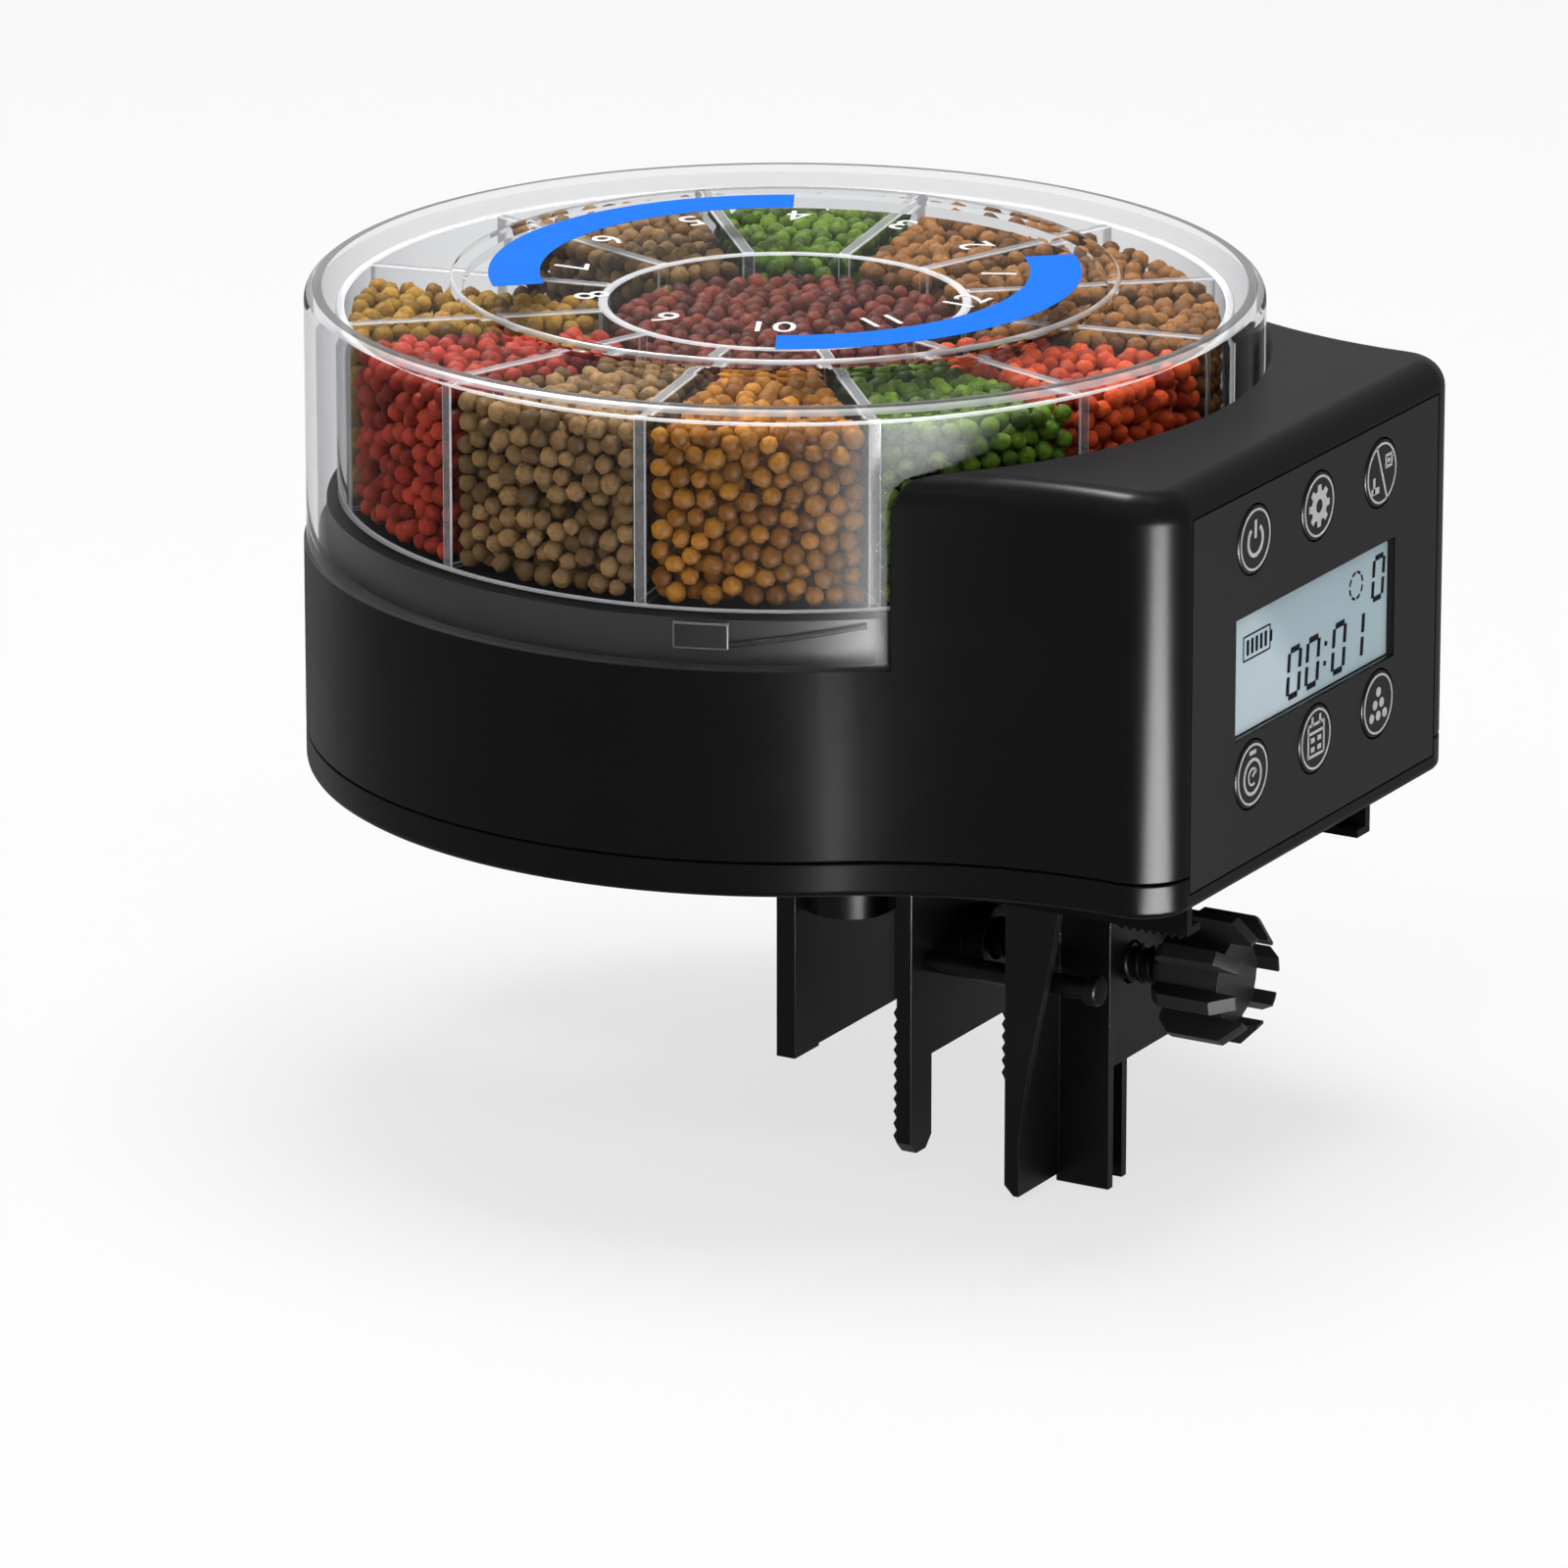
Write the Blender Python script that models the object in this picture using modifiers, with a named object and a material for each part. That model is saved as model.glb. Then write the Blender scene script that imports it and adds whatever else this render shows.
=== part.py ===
"""Automatic fish feeder: a clear-lidded food wheel on a round housing, with a control box and a tank clamp.

Lengths are in metres and +Z is up. Pieces are modelled about the drum's own axis, with the underside of
the housing at height zero, and hang from one empty that puts the origin in the middle of the clamp's
rest, where the feeder bears on the rim of the tank.
"""

import math

import bmesh
import bpy
from mathutils import Matrix, Vector

# Clearance between pieces that touch, how far joined shapes reach into each other,
# and how far a cutter runs past what it cuts
GAP = 0.0003
BITE = 0.0004
CUT_PAST = 0.013

# Housing
DRUM_RADIUS = 0.075
BOX_SIDE_FLAT = 0.00174
BOX_HALF_WIDTH = 0.0485
BOX_CORNER_RADIUS = 0.008
NECK_RADIUS = 0.070
BOX_HEIGHT = 0.066
BOX_EDGE_RADIUS = 0.0045
BOX_END_ANGLE = math.radians(48.0)
BOX_END_RADIUS = 0.0065
COVER_HEIGHT = 0.0054
COVER_FRONT_HEIGHT = 0.0026
COVER_EDGE_RADIUS = 0.0012
LEDGE_HEIGHT = 0.0357
DECK_HEIGHT = 0.0427
DECK_THICKNESS = 0.0022
WALL = 0.002
ROOF = 0.0025

# Lid and its bayonet
LID_INSET = 0.0004
LID_CLEARANCE = 0.0006
LID_WALL = 0.0018
LID_TOP = 0.002
LID_HEADROOM = 0.0015
LID_EDGE_RADIUS = 0.0022
LID_DISC_RADIUS = 0.052
LID_DISC_RISE = 0.0017
SKIRT_GAP = 0.0014
LUG_COUNT = 3
LUG_ANGLE = math.radians(-70.2)
LUG_SPREAD = math.radians(6.8)
LUG_HEIGHT = 0.0042
LUG_REACH = 0.001
RAMP_SPREAD = math.radians(17.0)
RAMP_RADIUS = 0.0005

# Food wheel
COMPARTMENTS = 12
FIRST_DIVIDER = math.radians(-18.7)
WHEEL_INSET = 0.0017
WHEEL_LIFT = 0.0006
WHEEL_HEIGHT = 0.0295
WHEEL_WALL = 0.0014
DIVIDER = 0.002
HUB_RADIUS = 0.029
HUB_WALL = 0.0015
HUB_FLOOR = 0.002
SLEEVE_WALL = 0.0022
SLEEVE_HEIGHT = 0.0145

# Drive
GEAR_TEETH = 48
PINION_TEETH = 12
INDEX_CLEARANCE = 0.00205
GEAR_BACKLASH = 0.0003
GEAR_FACE = 0.004
MOTOR_ANGLE = math.radians(-110.0)
MOTOR_RADIUS = 0.014
MOTOR_HEIGHT = 0.019
MOTOR_SHAFT_RADIUS = 0.002
EAR_REACH = 0.018
EAR_RADIUS = 0.0042
EAR_THICKNESS = 0.002
POST_RADIUS = 0.007
GEAR_DROP = 0.0107
SPINDLE_RADIUS = 0.0032
SPINDLE_LENGTH = 0.007
INDEX_DISC_REACH = 0.004
INDEX_NOTCH = 0.0016
INDEX_ANGLE = math.radians(-40.0)
SWITCH_HALF_DEPTH = 0.0032
SWITCH_HALF_WIDTH = 0.0064
SWITCH_HEIGHT = 0.0065
SWITCH_STANDOFF = 0.0023
LEVER_HALF_WIDTH = 0.001
LEVER_THICKNESS = 0.0015
DRIVE_HUB_RADIUS = 0.0085
DRIVE_HEX = 0.013
DRIVE_HEX_HEIGHT = 0.011

# Outlet chute under the compartment that has come round to it
OUTLET_HUB_MARGIN = 0.00845
OUTLET_MARGIN = 0.00335
OUTLET_HALF_WIDTH = 0.008
CHUTE_WALL = 0.0014
CHUTE_FLANGE = 0.003
CHUTE_FLANGE_THICKNESS = 0.0015

# Control panel
PANEL_SIDE_MARGIN = 0.0083
PANEL_TOP_MARGIN = 0.0048
PANEL_THICKNESS = 0.0024
PANEL_FLANGE = 0.0014
PANEL_FLANGE_BAND = 0.0012
PANEL_FLANGE_THICKNESS = 0.0014
WINDOW_HALF_WIDTH = 0.0262
WINDOW_LOW = 0.0228
WINDOW_KEY_MARGIN = 0.0115
WINDOW_SINK = 0.0002
WINDOW_THICKNESS = 0.0008
KEY_RADIUS = 0.0053
KEY_PITCH = 0.0208
KEY_ROW_LOW = 0.0165
KEY_ROW_MARGIN = 0.0077
KEY_PROUD = 0.0003
KEY_TRAVEL = 0.0005
KEY_FLANGE = 0.0007
KEY_FLANGE_THICKNESS = 0.001
DOME_RADIUS = 0.004
DOME_HEIGHT = 0.0007
BOARD_SIDE_MARGIN = 0.0042
BOARD_LOW = 0.0065
BOARD_TOP_MARGIN = 0.0017
BOARD_THICKNESS = 0.0016
BOARD_POST_RADIUS = 0.0022
BOARD_POST_MARGIN = 0.003

# Batteries, in a bay open to the underside
CELL_RADIUS = 0.0072
CELL_LENGTH = 0.0505
CELL_SPACING = 0.0149
CELL_NUB_RADIUS = 0.0027
CELL_NUB_LENGTH = 0.0012
CONTACT_THICKNESS = 0.0005
BAY_START = -0.024
BAY_SIDE = 0.0215
BAY_WALL = 0.0015
BAY_HEIGHT = 0.019
DOOR_GRIP_LENGTH = 0.008
DOOR_GROOVES = 3
DOOR_GROOVE_WIDTH = 0.001
DOOR_GROOVE_DEPTH = 0.0005

# Screws
SCREW_RADIUS = 0.0012
SCREW_HEAD_RADIUS = 0.0027
SCREW_HEAD_HEIGHT = 0.0016
SCREW_LENGTH = 0.0095
SCREW_POST_RADIUS = 0.0035
SCREW_BOSS_HEIGHT = 0.0036
DRUM_POST_INSET = 0.013
DRUM_POST_ANGLE = math.radians(125.0)
BOX_POST_INSET = 0.0133
BOX_POST_MARGIN = 0.0065

# Tank clamp
CLAMP_Y = -0.010
RAIL_HALF_SPAN = 0.030
RAIL_START = 0.012
RAIL_SETBACK = 0.0005
RAIL_WALL = 0.0015
RAIL_LIP = 0.0027
RAIL_LIP_THICKNESS = 0.0012
RAIL_DEPTH = 0.004
RACK_LENGTH = 0.0112
RACK_PITCH = 0.0014
RACK_DEPTH = 0.0012
FLANGE_START = 0.014
FLANGE_END = 0.0715
FLANGE_THICKNESS = 0.0021
JAW_HALF_WIDTH = 0.0206
FIXED_JAW_X = 0.0161
FIXED_JAW_THICKNESS = 0.0033
FIXED_JAW_BOTTOM = -0.0388
FIXED_JAW_RECESS = 0.0006
FIXED_JAW_BORDER = 0.0075
REST_X = 0.024
REST_RADIUS = 0.007
REST_HALF_SPAN = 0.012
REST_BOTTOM = -0.0155
MOVING_JAW_X = 0.0374
MOVING_JAW_THICKNESS = 0.0026
MOVING_JAW_PLATE_BOTTOM = -0.0363
MOVING_JAW_BOTTOM = -0.0512
JAW_LEG_WIDTH = 0.0066
JAW_LEG_CHAMFER = 0.0018
JAW_TEETH = 11
JAW_TOOTH_PITCH = 0.002
JAW_TOOTH_DEPTH = 0.0007
JAW_SOCKET_RADIUS = 0.0052
JAW_SOCKET_LENGTH = 0.004
OUTER_PLATE_X = 0.0565
OUTER_PLATE_THICKNESS = 0.0025
OUTER_PLATE_BOTTOM = -0.0545
OUTER_PLATE_CHAMFER = 0.0016
OUTER_PLATE_STEP = -0.0375
OUTER_PLATE_STEP_OFFSET = 0.012
GUSSET_WIDTH = 0.0072
GUSSET_THICKNESS = 0.0017
GUSSET_END = -0.046
RIB_THICKNESS = 0.0015
RIB_NEAR_OFFSET = -0.0077
RIB_INNER_OFFSET = -0.0022
RIB_BOTTOM = -0.0557
RIB_INNER_TOP = -0.030
NUT_PLATE_X = 0.0654
NUT_PLATE_THICKNESS = 0.002
NUT_PLATE_BOTTOM = -0.0362
NUT_PLATE_FAR_OFFSET = 0.0137
CLAMP_SCREW_Z = -0.0208
CLAMP_SCREW_RADIUS = 0.0032
PIN_NEAR_OFFSET = -0.0153
PIN_FAR_OFFSET = 0.0163
PIN_RADIUS = 0.0017
PIN_LENGTH = 0.028
PIN_NEAR_HEAD_RADIUS = 0.0024
PIN_FAR_HEAD_RADIUS = 0.0022
PIN_HEAD_LENGTH = 0.002
KNOB_X = 0.0742
KNOB_LENGTH = 0.015
KNOB_RADIUS = 0.0104
KNOB_ROOT_RADIUS = 0.0066
KNOB_HUB_RADIUS = 0.0058
KNOB_HUB_LENGTH = 0.001
KNOB_FINS = 8
KNOB_FIRST_FIN = math.radians(9.0)
KNOB_FIN_WIDTH = 0.0022
KNOB_RECESS = 0.0036
KNOB_CHAMFER = 0.003
KNOB_BACK_CHAMFER = 0.0019
KNOB_BORE_DEPTH = 0.0085

# Facets round a circle, by size
LARGE_STEPS = 52
MIDDLE_STEPS = 20
SMALL_STEPS = 12

# Heights and radii that follow from the sizes above
NECK_END_X = math.sqrt((DRUM_RADIUS + NECK_RADIUS) ** 2 - (BOX_HALF_WIDTH + NECK_RADIUS) ** 2)
NECK_END_Y = BOX_HALF_WIDTH + NECK_RADIUS
BOX_FRONT = NECK_END_X + BOX_SIDE_FLAT + BOX_CORNER_RADIUS
HOUSING_BOTTOM = COVER_HEIGHT + GAP
LID_RADIUS = DRUM_RADIUS - LID_INSET
BAY_RADIUS = LID_RADIUS + LID_CLEARANCE
PLINTH_RADIUS = LID_RADIUS - LID_WALL - SKIRT_GAP
DECK_UNDERSIDE = DECK_HEIGHT - DECK_THICKNESS
LEDGE_UNDERSIDE = LEDGE_HEIGHT - DECK_THICKNESS
WHEEL_RADIUS = PLINTH_RADIUS - WHEEL_INSET
WHEEL_BOTTOM = DECK_HEIGHT + WHEEL_LIFT
WHEEL_TOP = WHEEL_BOTTOM + WHEEL_HEIGHT
OUTLET_NEAR = HUB_RADIUS + OUTLET_HUB_MARGIN
OUTLET_FAR = WHEEL_RADIUS - WHEEL_WALL - OUTLET_MARGIN
OUTLET_CENTRE = -(OUTLET_NEAR + OUTLET_FAR) / 2
OUTLET_HALF_LENGTH = (OUTLET_FAR - OUTLET_NEAR) / 2
INDEX_DISC_RADIUS = OUTLET_NEAR - CHUTE_WALL - INDEX_CLEARANCE
GEAR_RADIUS = INDEX_DISC_RADIUS - INDEX_DISC_REACH
GEAR_MODULE = 2 * GEAR_RADIUS / GEAR_TEETH
PINION_RADIUS = PINION_TEETH * GEAR_MODULE / 2
POST_HEIGHT = DECK_HEIGHT - GEAR_DROP
GEAR_BOTTOM = POST_HEIGHT + GAP
DRUM_POST_RADIUS = DRUM_RADIUS - DRUM_POST_INSET
BOX_POST_X = BOX_FRONT - BOX_POST_INSET
BOX_POST_Y = BOX_HALF_WIDTH - BOX_POST_MARGIN
MOTOR_X = (GEAR_RADIUS + PINION_RADIUS + GAP) * math.cos(MOTOR_ANGLE)
MOTOR_Y = (GEAR_RADIUS + PINION_RADIUS + GAP) * math.sin(MOTOR_ANGLE)
MOTOR_BOTTOM = WALL + GAP
MOTOR_TOP = MOTOR_BOTTOM + MOTOR_HEIGHT
PANEL_HALF_WIDTH = BOX_HALF_WIDTH - PANEL_SIDE_MARGIN
PANEL_TOP = BOX_HEIGHT - PANEL_TOP_MARGIN
KEY_ROW_HIGH = PANEL_TOP - KEY_ROW_MARGIN
WINDOW_HIGH = KEY_ROW_HIGH - WINDOW_KEY_MARGIN
BOARD_HALF_WIDTH = PANEL_HALF_WIDTH - BOARD_SIDE_MARGIN
BOARD_HIGH = PANEL_TOP - BOARD_TOP_MARGIN
PANEL_BOTTOM = COVER_FRONT_HEIGHT + GAP
PANEL_BACK = BOX_FRONT - PANEL_THICKNESS
FLANGE_FACE = BOX_FRONT - WALL - GAP
KEY_HEAD = BOX_FRONT + KEY_PROUD
KEY_TAIL = PANEL_BACK - KEY_TRAVEL - KEY_FLANGE_THICKNESS
BOARD_FACE = KEY_TAIL - KEY_TRAVEL - DOME_HEIGHT - 2 * GAP
BAY_LENGTH = CELL_LENGTH + 2 * CONTACT_THICKNESS + 4 * GAP
BAY_WIDTH = CELL_SPACING + 2 * CELL_RADIUS + 2 * GAP
FLANGE_TOP = -GAP
FLANGE_BOTTOM = FLANGE_TOP - FLANGE_THICKNESS
KNOB_BODY_X = KNOB_X + KNOB_HUB_LENGTH
CLAMP_LOW = CLAMP_Y - JAW_HALF_WIDTH
CLAMP_HIGH = CLAMP_Y + JAW_HALF_WIDTH

# Shells with so many cuts that the exact solver leaves open edges in them
LARGE_SHELLS = ("upper_housing", "bottom_cover")

BLACK = (0.012, 0.012, 0.013)
DARK = (0.02, 0.02, 0.022)

for old in list(bpy.data.objects):
    bpy.data.objects.remove(old, do_unlink=True)

parts = bpy.data.collections.new("automatic_fish_feeder")
cutters = bpy.data.collections.new("cutters")
bpy.context.scene.collection.children.link(parts)
bpy.context.scene.collection.children.link(cutters)

feeder = bpy.data.objects.new("feeder", None)
feeder.location = (-REST_X, -CLAMP_Y, -REST_BOTTOM)
parts.objects.link(feeder)


def place(name, mesh, centre=(0.0, 0.0, 0.0)):
    """A part with the mesh, which is given about the drum's axis, and its own origin at centre."""
    mesh.transform(Matrix.Translation(-Vector(centre)))
    mesh.shade_smooth()
    mesh.set_sharp_from_angle(angle=math.radians(32))
    obj = bpy.data.objects.new(name, mesh)
    obj.parent = feeder
    obj.location = centre
    parts.objects.link(obj)
    return obj


def finish(obj, colour, roughness, metallic=0.0, alpha=1.0):
    """Gives a part its own material."""
    material = bpy.data.materials.new(obj.name + "_finish")
    material.use_nodes = True
    shader = material.node_tree.nodes["Principled BSDF"]
    shader.inputs["Base Color"].default_value = (*colour, 1.0)
    shader.inputs["Roughness"].default_value = roughness
    shader.inputs["Metallic"].default_value = metallic
    shader.inputs["Alpha"].default_value = alpha
    obj.data.materials.append(material)


def combine(target, mesh, operation):
    """Adds a mesh to a part, or takes it away, with a Boolean on a hidden helper."""
    helper = bpy.data.objects.new(target.name + "_" + operation.lower(), mesh)
    helper.parent = feeder
    helper.hide_render = True
    helper.display_type = "WIRE"
    cutters.objects.link(helper)
    modifier = target.modifiers.new(operation.lower(), "BOOLEAN")
    modifier.operation = operation
    modifier.solver = "MANIFOLD" if target.name in LARGE_SHELLS else "EXACT"
    modifier.object = helper


def cut(target, *meshes):
    for mesh in meshes:
        combine(target, mesh, "DIFFERENCE")


def join(target, *meshes):
    for mesh in meshes:
        combine(target, mesh, "UNION")


def evaluated_mesh(obj):
    """The mesh that a helper object evaluates to, welded, with the helper removed."""
    bpy.context.scene.collection.objects.link(obj)
    bpy.context.view_layer.update()
    graph = bpy.context.evaluated_depsgraph_get()
    mesh = bpy.data.meshes.new_from_object(obj.evaluated_get(graph))
    bpy.data.objects.remove(obj, do_unlink=True)
    shape = bmesh.new()
    shape.from_mesh(mesh)
    bmesh.ops.remove_doubles(shape, verts=shape.verts, dist=1e-7)
    bmesh.ops.dissolve_limit(shape, angle_limit=1e-4, verts=shape.verts, edges=shape.edges)
    bmesh.ops.recalc_face_normals(shape, faces=shape.faces)
    shape.to_mesh(mesh)
    shape.free()
    return mesh


# How an outline's own two directions and its thickness lie, by the axis that the thickness runs along
OUTLINE_TURN = {
    "X": Matrix(((0, 0, 1, 0), (1, 0, 0, 0), (0, 1, 0, 0), (0, 0, 0, 1))),
    "Y": Matrix(((1, 0, 0, 0), (0, 0, -1, 0), (0, 1, 0, 0), (0, 0, 0, 1))),
    "Z": Matrix.Identity(4),
}


def outline_mesh(loops, low, high, axis="Z"):
    """A flat outline, with a hole for each loop inside it, from low to high along an axis."""
    curve = bpy.data.curves.new("outline", "CURVE")
    curve.dimensions = "2D"
    curve.fill_mode = "BOTH"
    curve.extrude = (high - low) / 2
    for loop in loops:
        spline = curve.splines.new("POLY")
        spline.points.add(len(loop) - 1)
        spline.use_cyclic_u = True
        for point, (across, along) in zip(spline.points, loop):
            point.co = (across, along, 0.0, 1.0)
    mesh = evaluated_mesh(bpy.data.objects.new("outline", curve))
    middle = (low + high) / 2
    if axis == "Y":
        middle = -middle
    mesh.transform(OUTLINE_TURN[axis] @ Matrix.Translation((0.0, 0.0, middle)))
    return mesh


def box_mesh(low, high):
    shape = bmesh.new()
    bmesh.ops.create_cube(shape, size=1.0)
    size = Vector(high) - Vector(low)
    middle = (Vector(high) + Vector(low)) / 2
    bmesh.ops.scale(shape, vec=size, verts=shape.verts)
    bmesh.ops.translate(shape, vec=middle, verts=shape.verts)
    mesh = bpy.data.meshes.new("box")
    shape.to_mesh(mesh)
    shape.free()
    return mesh


def round_mesh(radius, low, high, centre=(0.0, 0.0), axis="Z", steps=MIDDLE_STEPS):
    """A cylinder from low to high along an axis, centred on the other two coordinates."""
    shape = bmesh.new()
    bmesh.ops.create_cone(
        shape, cap_ends=True, segments=steps, radius1=radius, radius2=radius, depth=high - low
    )
    bmesh.ops.translate(shape, vec=(*centre, (low + high) / 2), verts=shape.verts)
    mesh = bpy.data.meshes.new("round")
    shape.to_mesh(mesh)
    shape.free()
    if axis == "X":
        mesh.transform(OUTLINE_TURN["X"])
    return mesh


def turned_mesh(profile, steps=LARGE_STEPS, closed=False):
    """A profile of radius and height, from the top down its outer side, turned about the drum's axis."""
    mesh = bpy.data.meshes.new("turned")
    count = len(profile)
    edges = [(index, index + 1) for index in range(count - 1)]
    if closed:
        edges.append((count - 1, 0))
    mesh.from_pydata([(radius, 0.0, height) for radius, height in profile], edges, [])
    obj = bpy.data.objects.new("turned", mesh)
    screw = obj.modifiers.new("turn", "SCREW")
    screw.steps = steps
    screw.render_steps = steps
    screw.use_merge_vertices = True
    screw.merge_threshold = 1e-6
    return evaluated_mesh(obj)


def turn_mesh(mesh, angle, centre=(0.0, 0.0)):
    """Turns a mesh about an upright line through centre."""
    middle = Vector((*centre, 0.0))
    mesh.transform(
        Matrix.Translation(middle) @ Matrix.Rotation(angle, 4, "Z") @ Matrix.Translation(-middle)
    )
    return mesh


def arc(centre, radius, start, end, steps):
    """Points on an arc, both ends included."""
    points = []
    for step in range(steps + 1):
        angle = start + (end - start) * step / steps
        points.append((centre[0] + radius * math.cos(angle), centre[1] + radius * math.sin(angle)))
    return points


def circle(radius, steps=LARGE_STEPS):
    return arc((0.0, 0.0), radius, 0.0, math.tau * (steps - 1) / steps, steps - 1)


def rectangle(left, low, right, high):
    return [(left, low), (right, low), (right, high), (left, high)]


def stadium(centre, half_length, half_width):
    """A slot along X with round ends."""
    reach = half_length - half_width
    right = arc((centre + reach, 0.0), half_width, -math.pi / 2, math.pi / 2, 8)
    left = arc((centre - reach, 0.0), half_width, math.pi / 2, 3 * math.pi / 2, 8)
    return right + left


def polar(radius, angle):
    return (radius * math.cos(angle), radius * math.sin(angle))


def housing_outline(inset=0.0):
    """The plan of drum, hollow necks and box, drawn in by inset."""
    tangent = math.atan2(NECK_END_Y, NECK_END_X)
    corner_x = BOX_FRONT - BOX_CORNER_RADIUS
    corner_y = BOX_HALF_WIDTH - BOX_CORNER_RADIUS
    corner = BOX_CORNER_RADIUS - inset
    neck = NECK_RADIUS + inset
    half_turn = math.pi / 2
    points = arc((corner_x, corner_y), corner, 0.0, half_turn, 6)
    points += arc((NECK_END_X, NECK_END_Y), neck, -half_turn, tangent - math.pi, 8)
    points += arc((0.0, 0.0), DRUM_RADIUS - inset, tangent, math.tau - tangent, 44)[1:-1]
    points += arc((NECK_END_X, -NECK_END_Y), neck, math.pi - tangent, half_turn, 8)
    points += arc((corner_x, -corner_y), corner, -half_turn, 0.0, 6)
    return points


def rounded_rim(mesh, height, radius, steps):
    """Rounds the edges that run round a flat face at the given height."""
    shape = bmesh.new()
    shape.from_mesh(mesh)
    rim = [
        edge
        for edge in shape.edges
        if all(abs(vert.co.z - height) < 1e-6 for vert in edge.verts)
        and any(abs(face.normal.z) < 0.5 for face in edge.link_faces)
    ]
    bmesh.ops.bevel(
        shape, geom=rim, offset=radius, segments=steps, profile=0.5, affect="EDGES", clamp_overlap=False
    )
    shape.to_mesh(mesh)
    shape.free()
    return mesh


def screw_mesh(x, y, head_bottom, length, head_on_top):
    """A pan-head screw, upright, with its head above or below its shank."""
    head_end = head_bottom + SCREW_HEAD_HEIGHT
    if head_on_top:
        shank_low = head_bottom - length
        profile = [
            (0.0, head_end),
            (SCREW_HEAD_RADIUS * 0.7, head_end),
            (SCREW_HEAD_RADIUS, head_bottom + SCREW_HEAD_HEIGHT * 0.5),
            (SCREW_HEAD_RADIUS, head_bottom),
            (SCREW_RADIUS, head_bottom),
            (SCREW_RADIUS, shank_low + SCREW_RADIUS),
            (0.0, shank_low),
        ]
    else:
        shank_high = head_end + length
        profile = [
            (0.0, shank_high),
            (SCREW_RADIUS, shank_high - SCREW_RADIUS),
            (SCREW_RADIUS, head_end),
            (SCREW_HEAD_RADIUS, head_end),
            (SCREW_HEAD_RADIUS, head_bottom + SCREW_HEAD_HEIGHT * 0.5),
            (SCREW_HEAD_RADIUS * 0.7, head_bottom),
            (0.0, head_bottom),
        ]
    mesh = turned_mesh(profile, SMALL_STEPS)
    mesh.transform(Matrix.Translation((x, y, 0.0)))
    return mesh


def screw_posts():
    """Where the bottom cover's screws go up into the housing."""
    drum = [polar(DRUM_POST_RADIUS, DRUM_POST_ANGLE), polar(DRUM_POST_RADIUS, -DRUM_POST_ANGLE)]
    return drum, [(BOX_POST_X, BOX_POST_Y), (BOX_POST_X, -BOX_POST_Y)]


def make_upper_housing():
    shell = outline_mesh([housing_outline()], HOUSING_BOTTOM, BOX_HEIGHT)
    housing = place("upper_housing", rounded_rim(shell, BOX_HEIGHT, BOX_EDGE_RADIUS, 3))
    above = BOX_HEIGHT + CUT_PAST
    lid_bay = [
        (0.0, above),
        (BAY_RADIUS, above),
        (BAY_RADIUS, LEDGE_HEIGHT),
        (PLINTH_RADIUS, LEDGE_HEIGHT),
        (PLINTH_RADIUS, DECK_HEIGHT),
        (0.0, DECK_HEIGHT),
    ]
    cut(housing, turned_mesh(lid_bay))
    for side in (-1, 1):
        cut(housing, box_end_cutter(side))
    below = -CUT_PAST
    cut(housing, outline_mesh([housing_outline(WALL)], below, LEDGE_UNDERSIDE))
    cut(housing, round_mesh(PLINTH_RADIUS - WALL, below, DECK_UNDERSIDE, steps=LARGE_STEPS))
    cut(housing, box_cavity())
    opening_low = (PANEL_BACK - WALL, -PANEL_HALF_WIDTH - GAP, below)
    opening_high = (BOX_FRONT + WALL, PANEL_HALF_WIDTH + GAP, PANEL_TOP + GAP)
    cut(housing, box_mesh(opening_low, opening_high))
    drum_posts, box_posts = screw_posts()
    post_bottom = SCREW_BOSS_HEIGHT + GAP
    for centre in drum_posts:
        post_top = DECK_UNDERSIDE + BITE
        join(housing, round_mesh(SCREW_POST_RADIUS, post_bottom, post_top, centre, steps=SMALL_STEPS))
    for x, y in box_posts:
        post_top = LEDGE_UNDERSIDE
        join(housing, round_mesh(SCREW_POST_RADIUS, post_bottom, post_top, (x, y), steps=SMALL_STEPS))
        side = math.copysign(1.0, y)
        web = sorted((y, side * (BOX_HALF_WIDTH - WALL + BITE)))
        web_low = (x - RIB_THICKNESS, web[0], HOUSING_BOTTOM)
        web_high = (x + RIB_THICKNESS, web[1], LEDGE_UNDERSIDE - BITE)
        join(housing, box_mesh(web_low, web_high))
    pilot_top = GAP + SCREW_HEAD_HEIGHT + SCREW_LENGTH + GAP
    for centre in drum_posts + box_posts:
        cut(housing, round_mesh(SCREW_RADIUS + GAP, below, pilot_top, centre, steps=SMALL_STEPS))
    cut(housing, round_mesh(DRIVE_HUB_RADIUS + 2 * GAP, DECK_UNDERSIDE - WALL, DECK_HEIGHT + WALL))
    outlet = stadium(OUTLET_CENTRE, OUTLET_HALF_LENGTH, OUTLET_HALF_WIDTH)
    cut(housing, outline_mesh([outlet], DECK_UNDERSIDE - WALL, DECK_HEIGHT + WALL))
    for index in range(LUG_COUNT):
        turn = math.tau * index / LUG_COUNT
        join(housing, turn_mesh(bayonet_lug(), turn), turn_mesh(bayonet_ramp(), turn))
    finish(housing, BLACK, 0.42)


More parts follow.
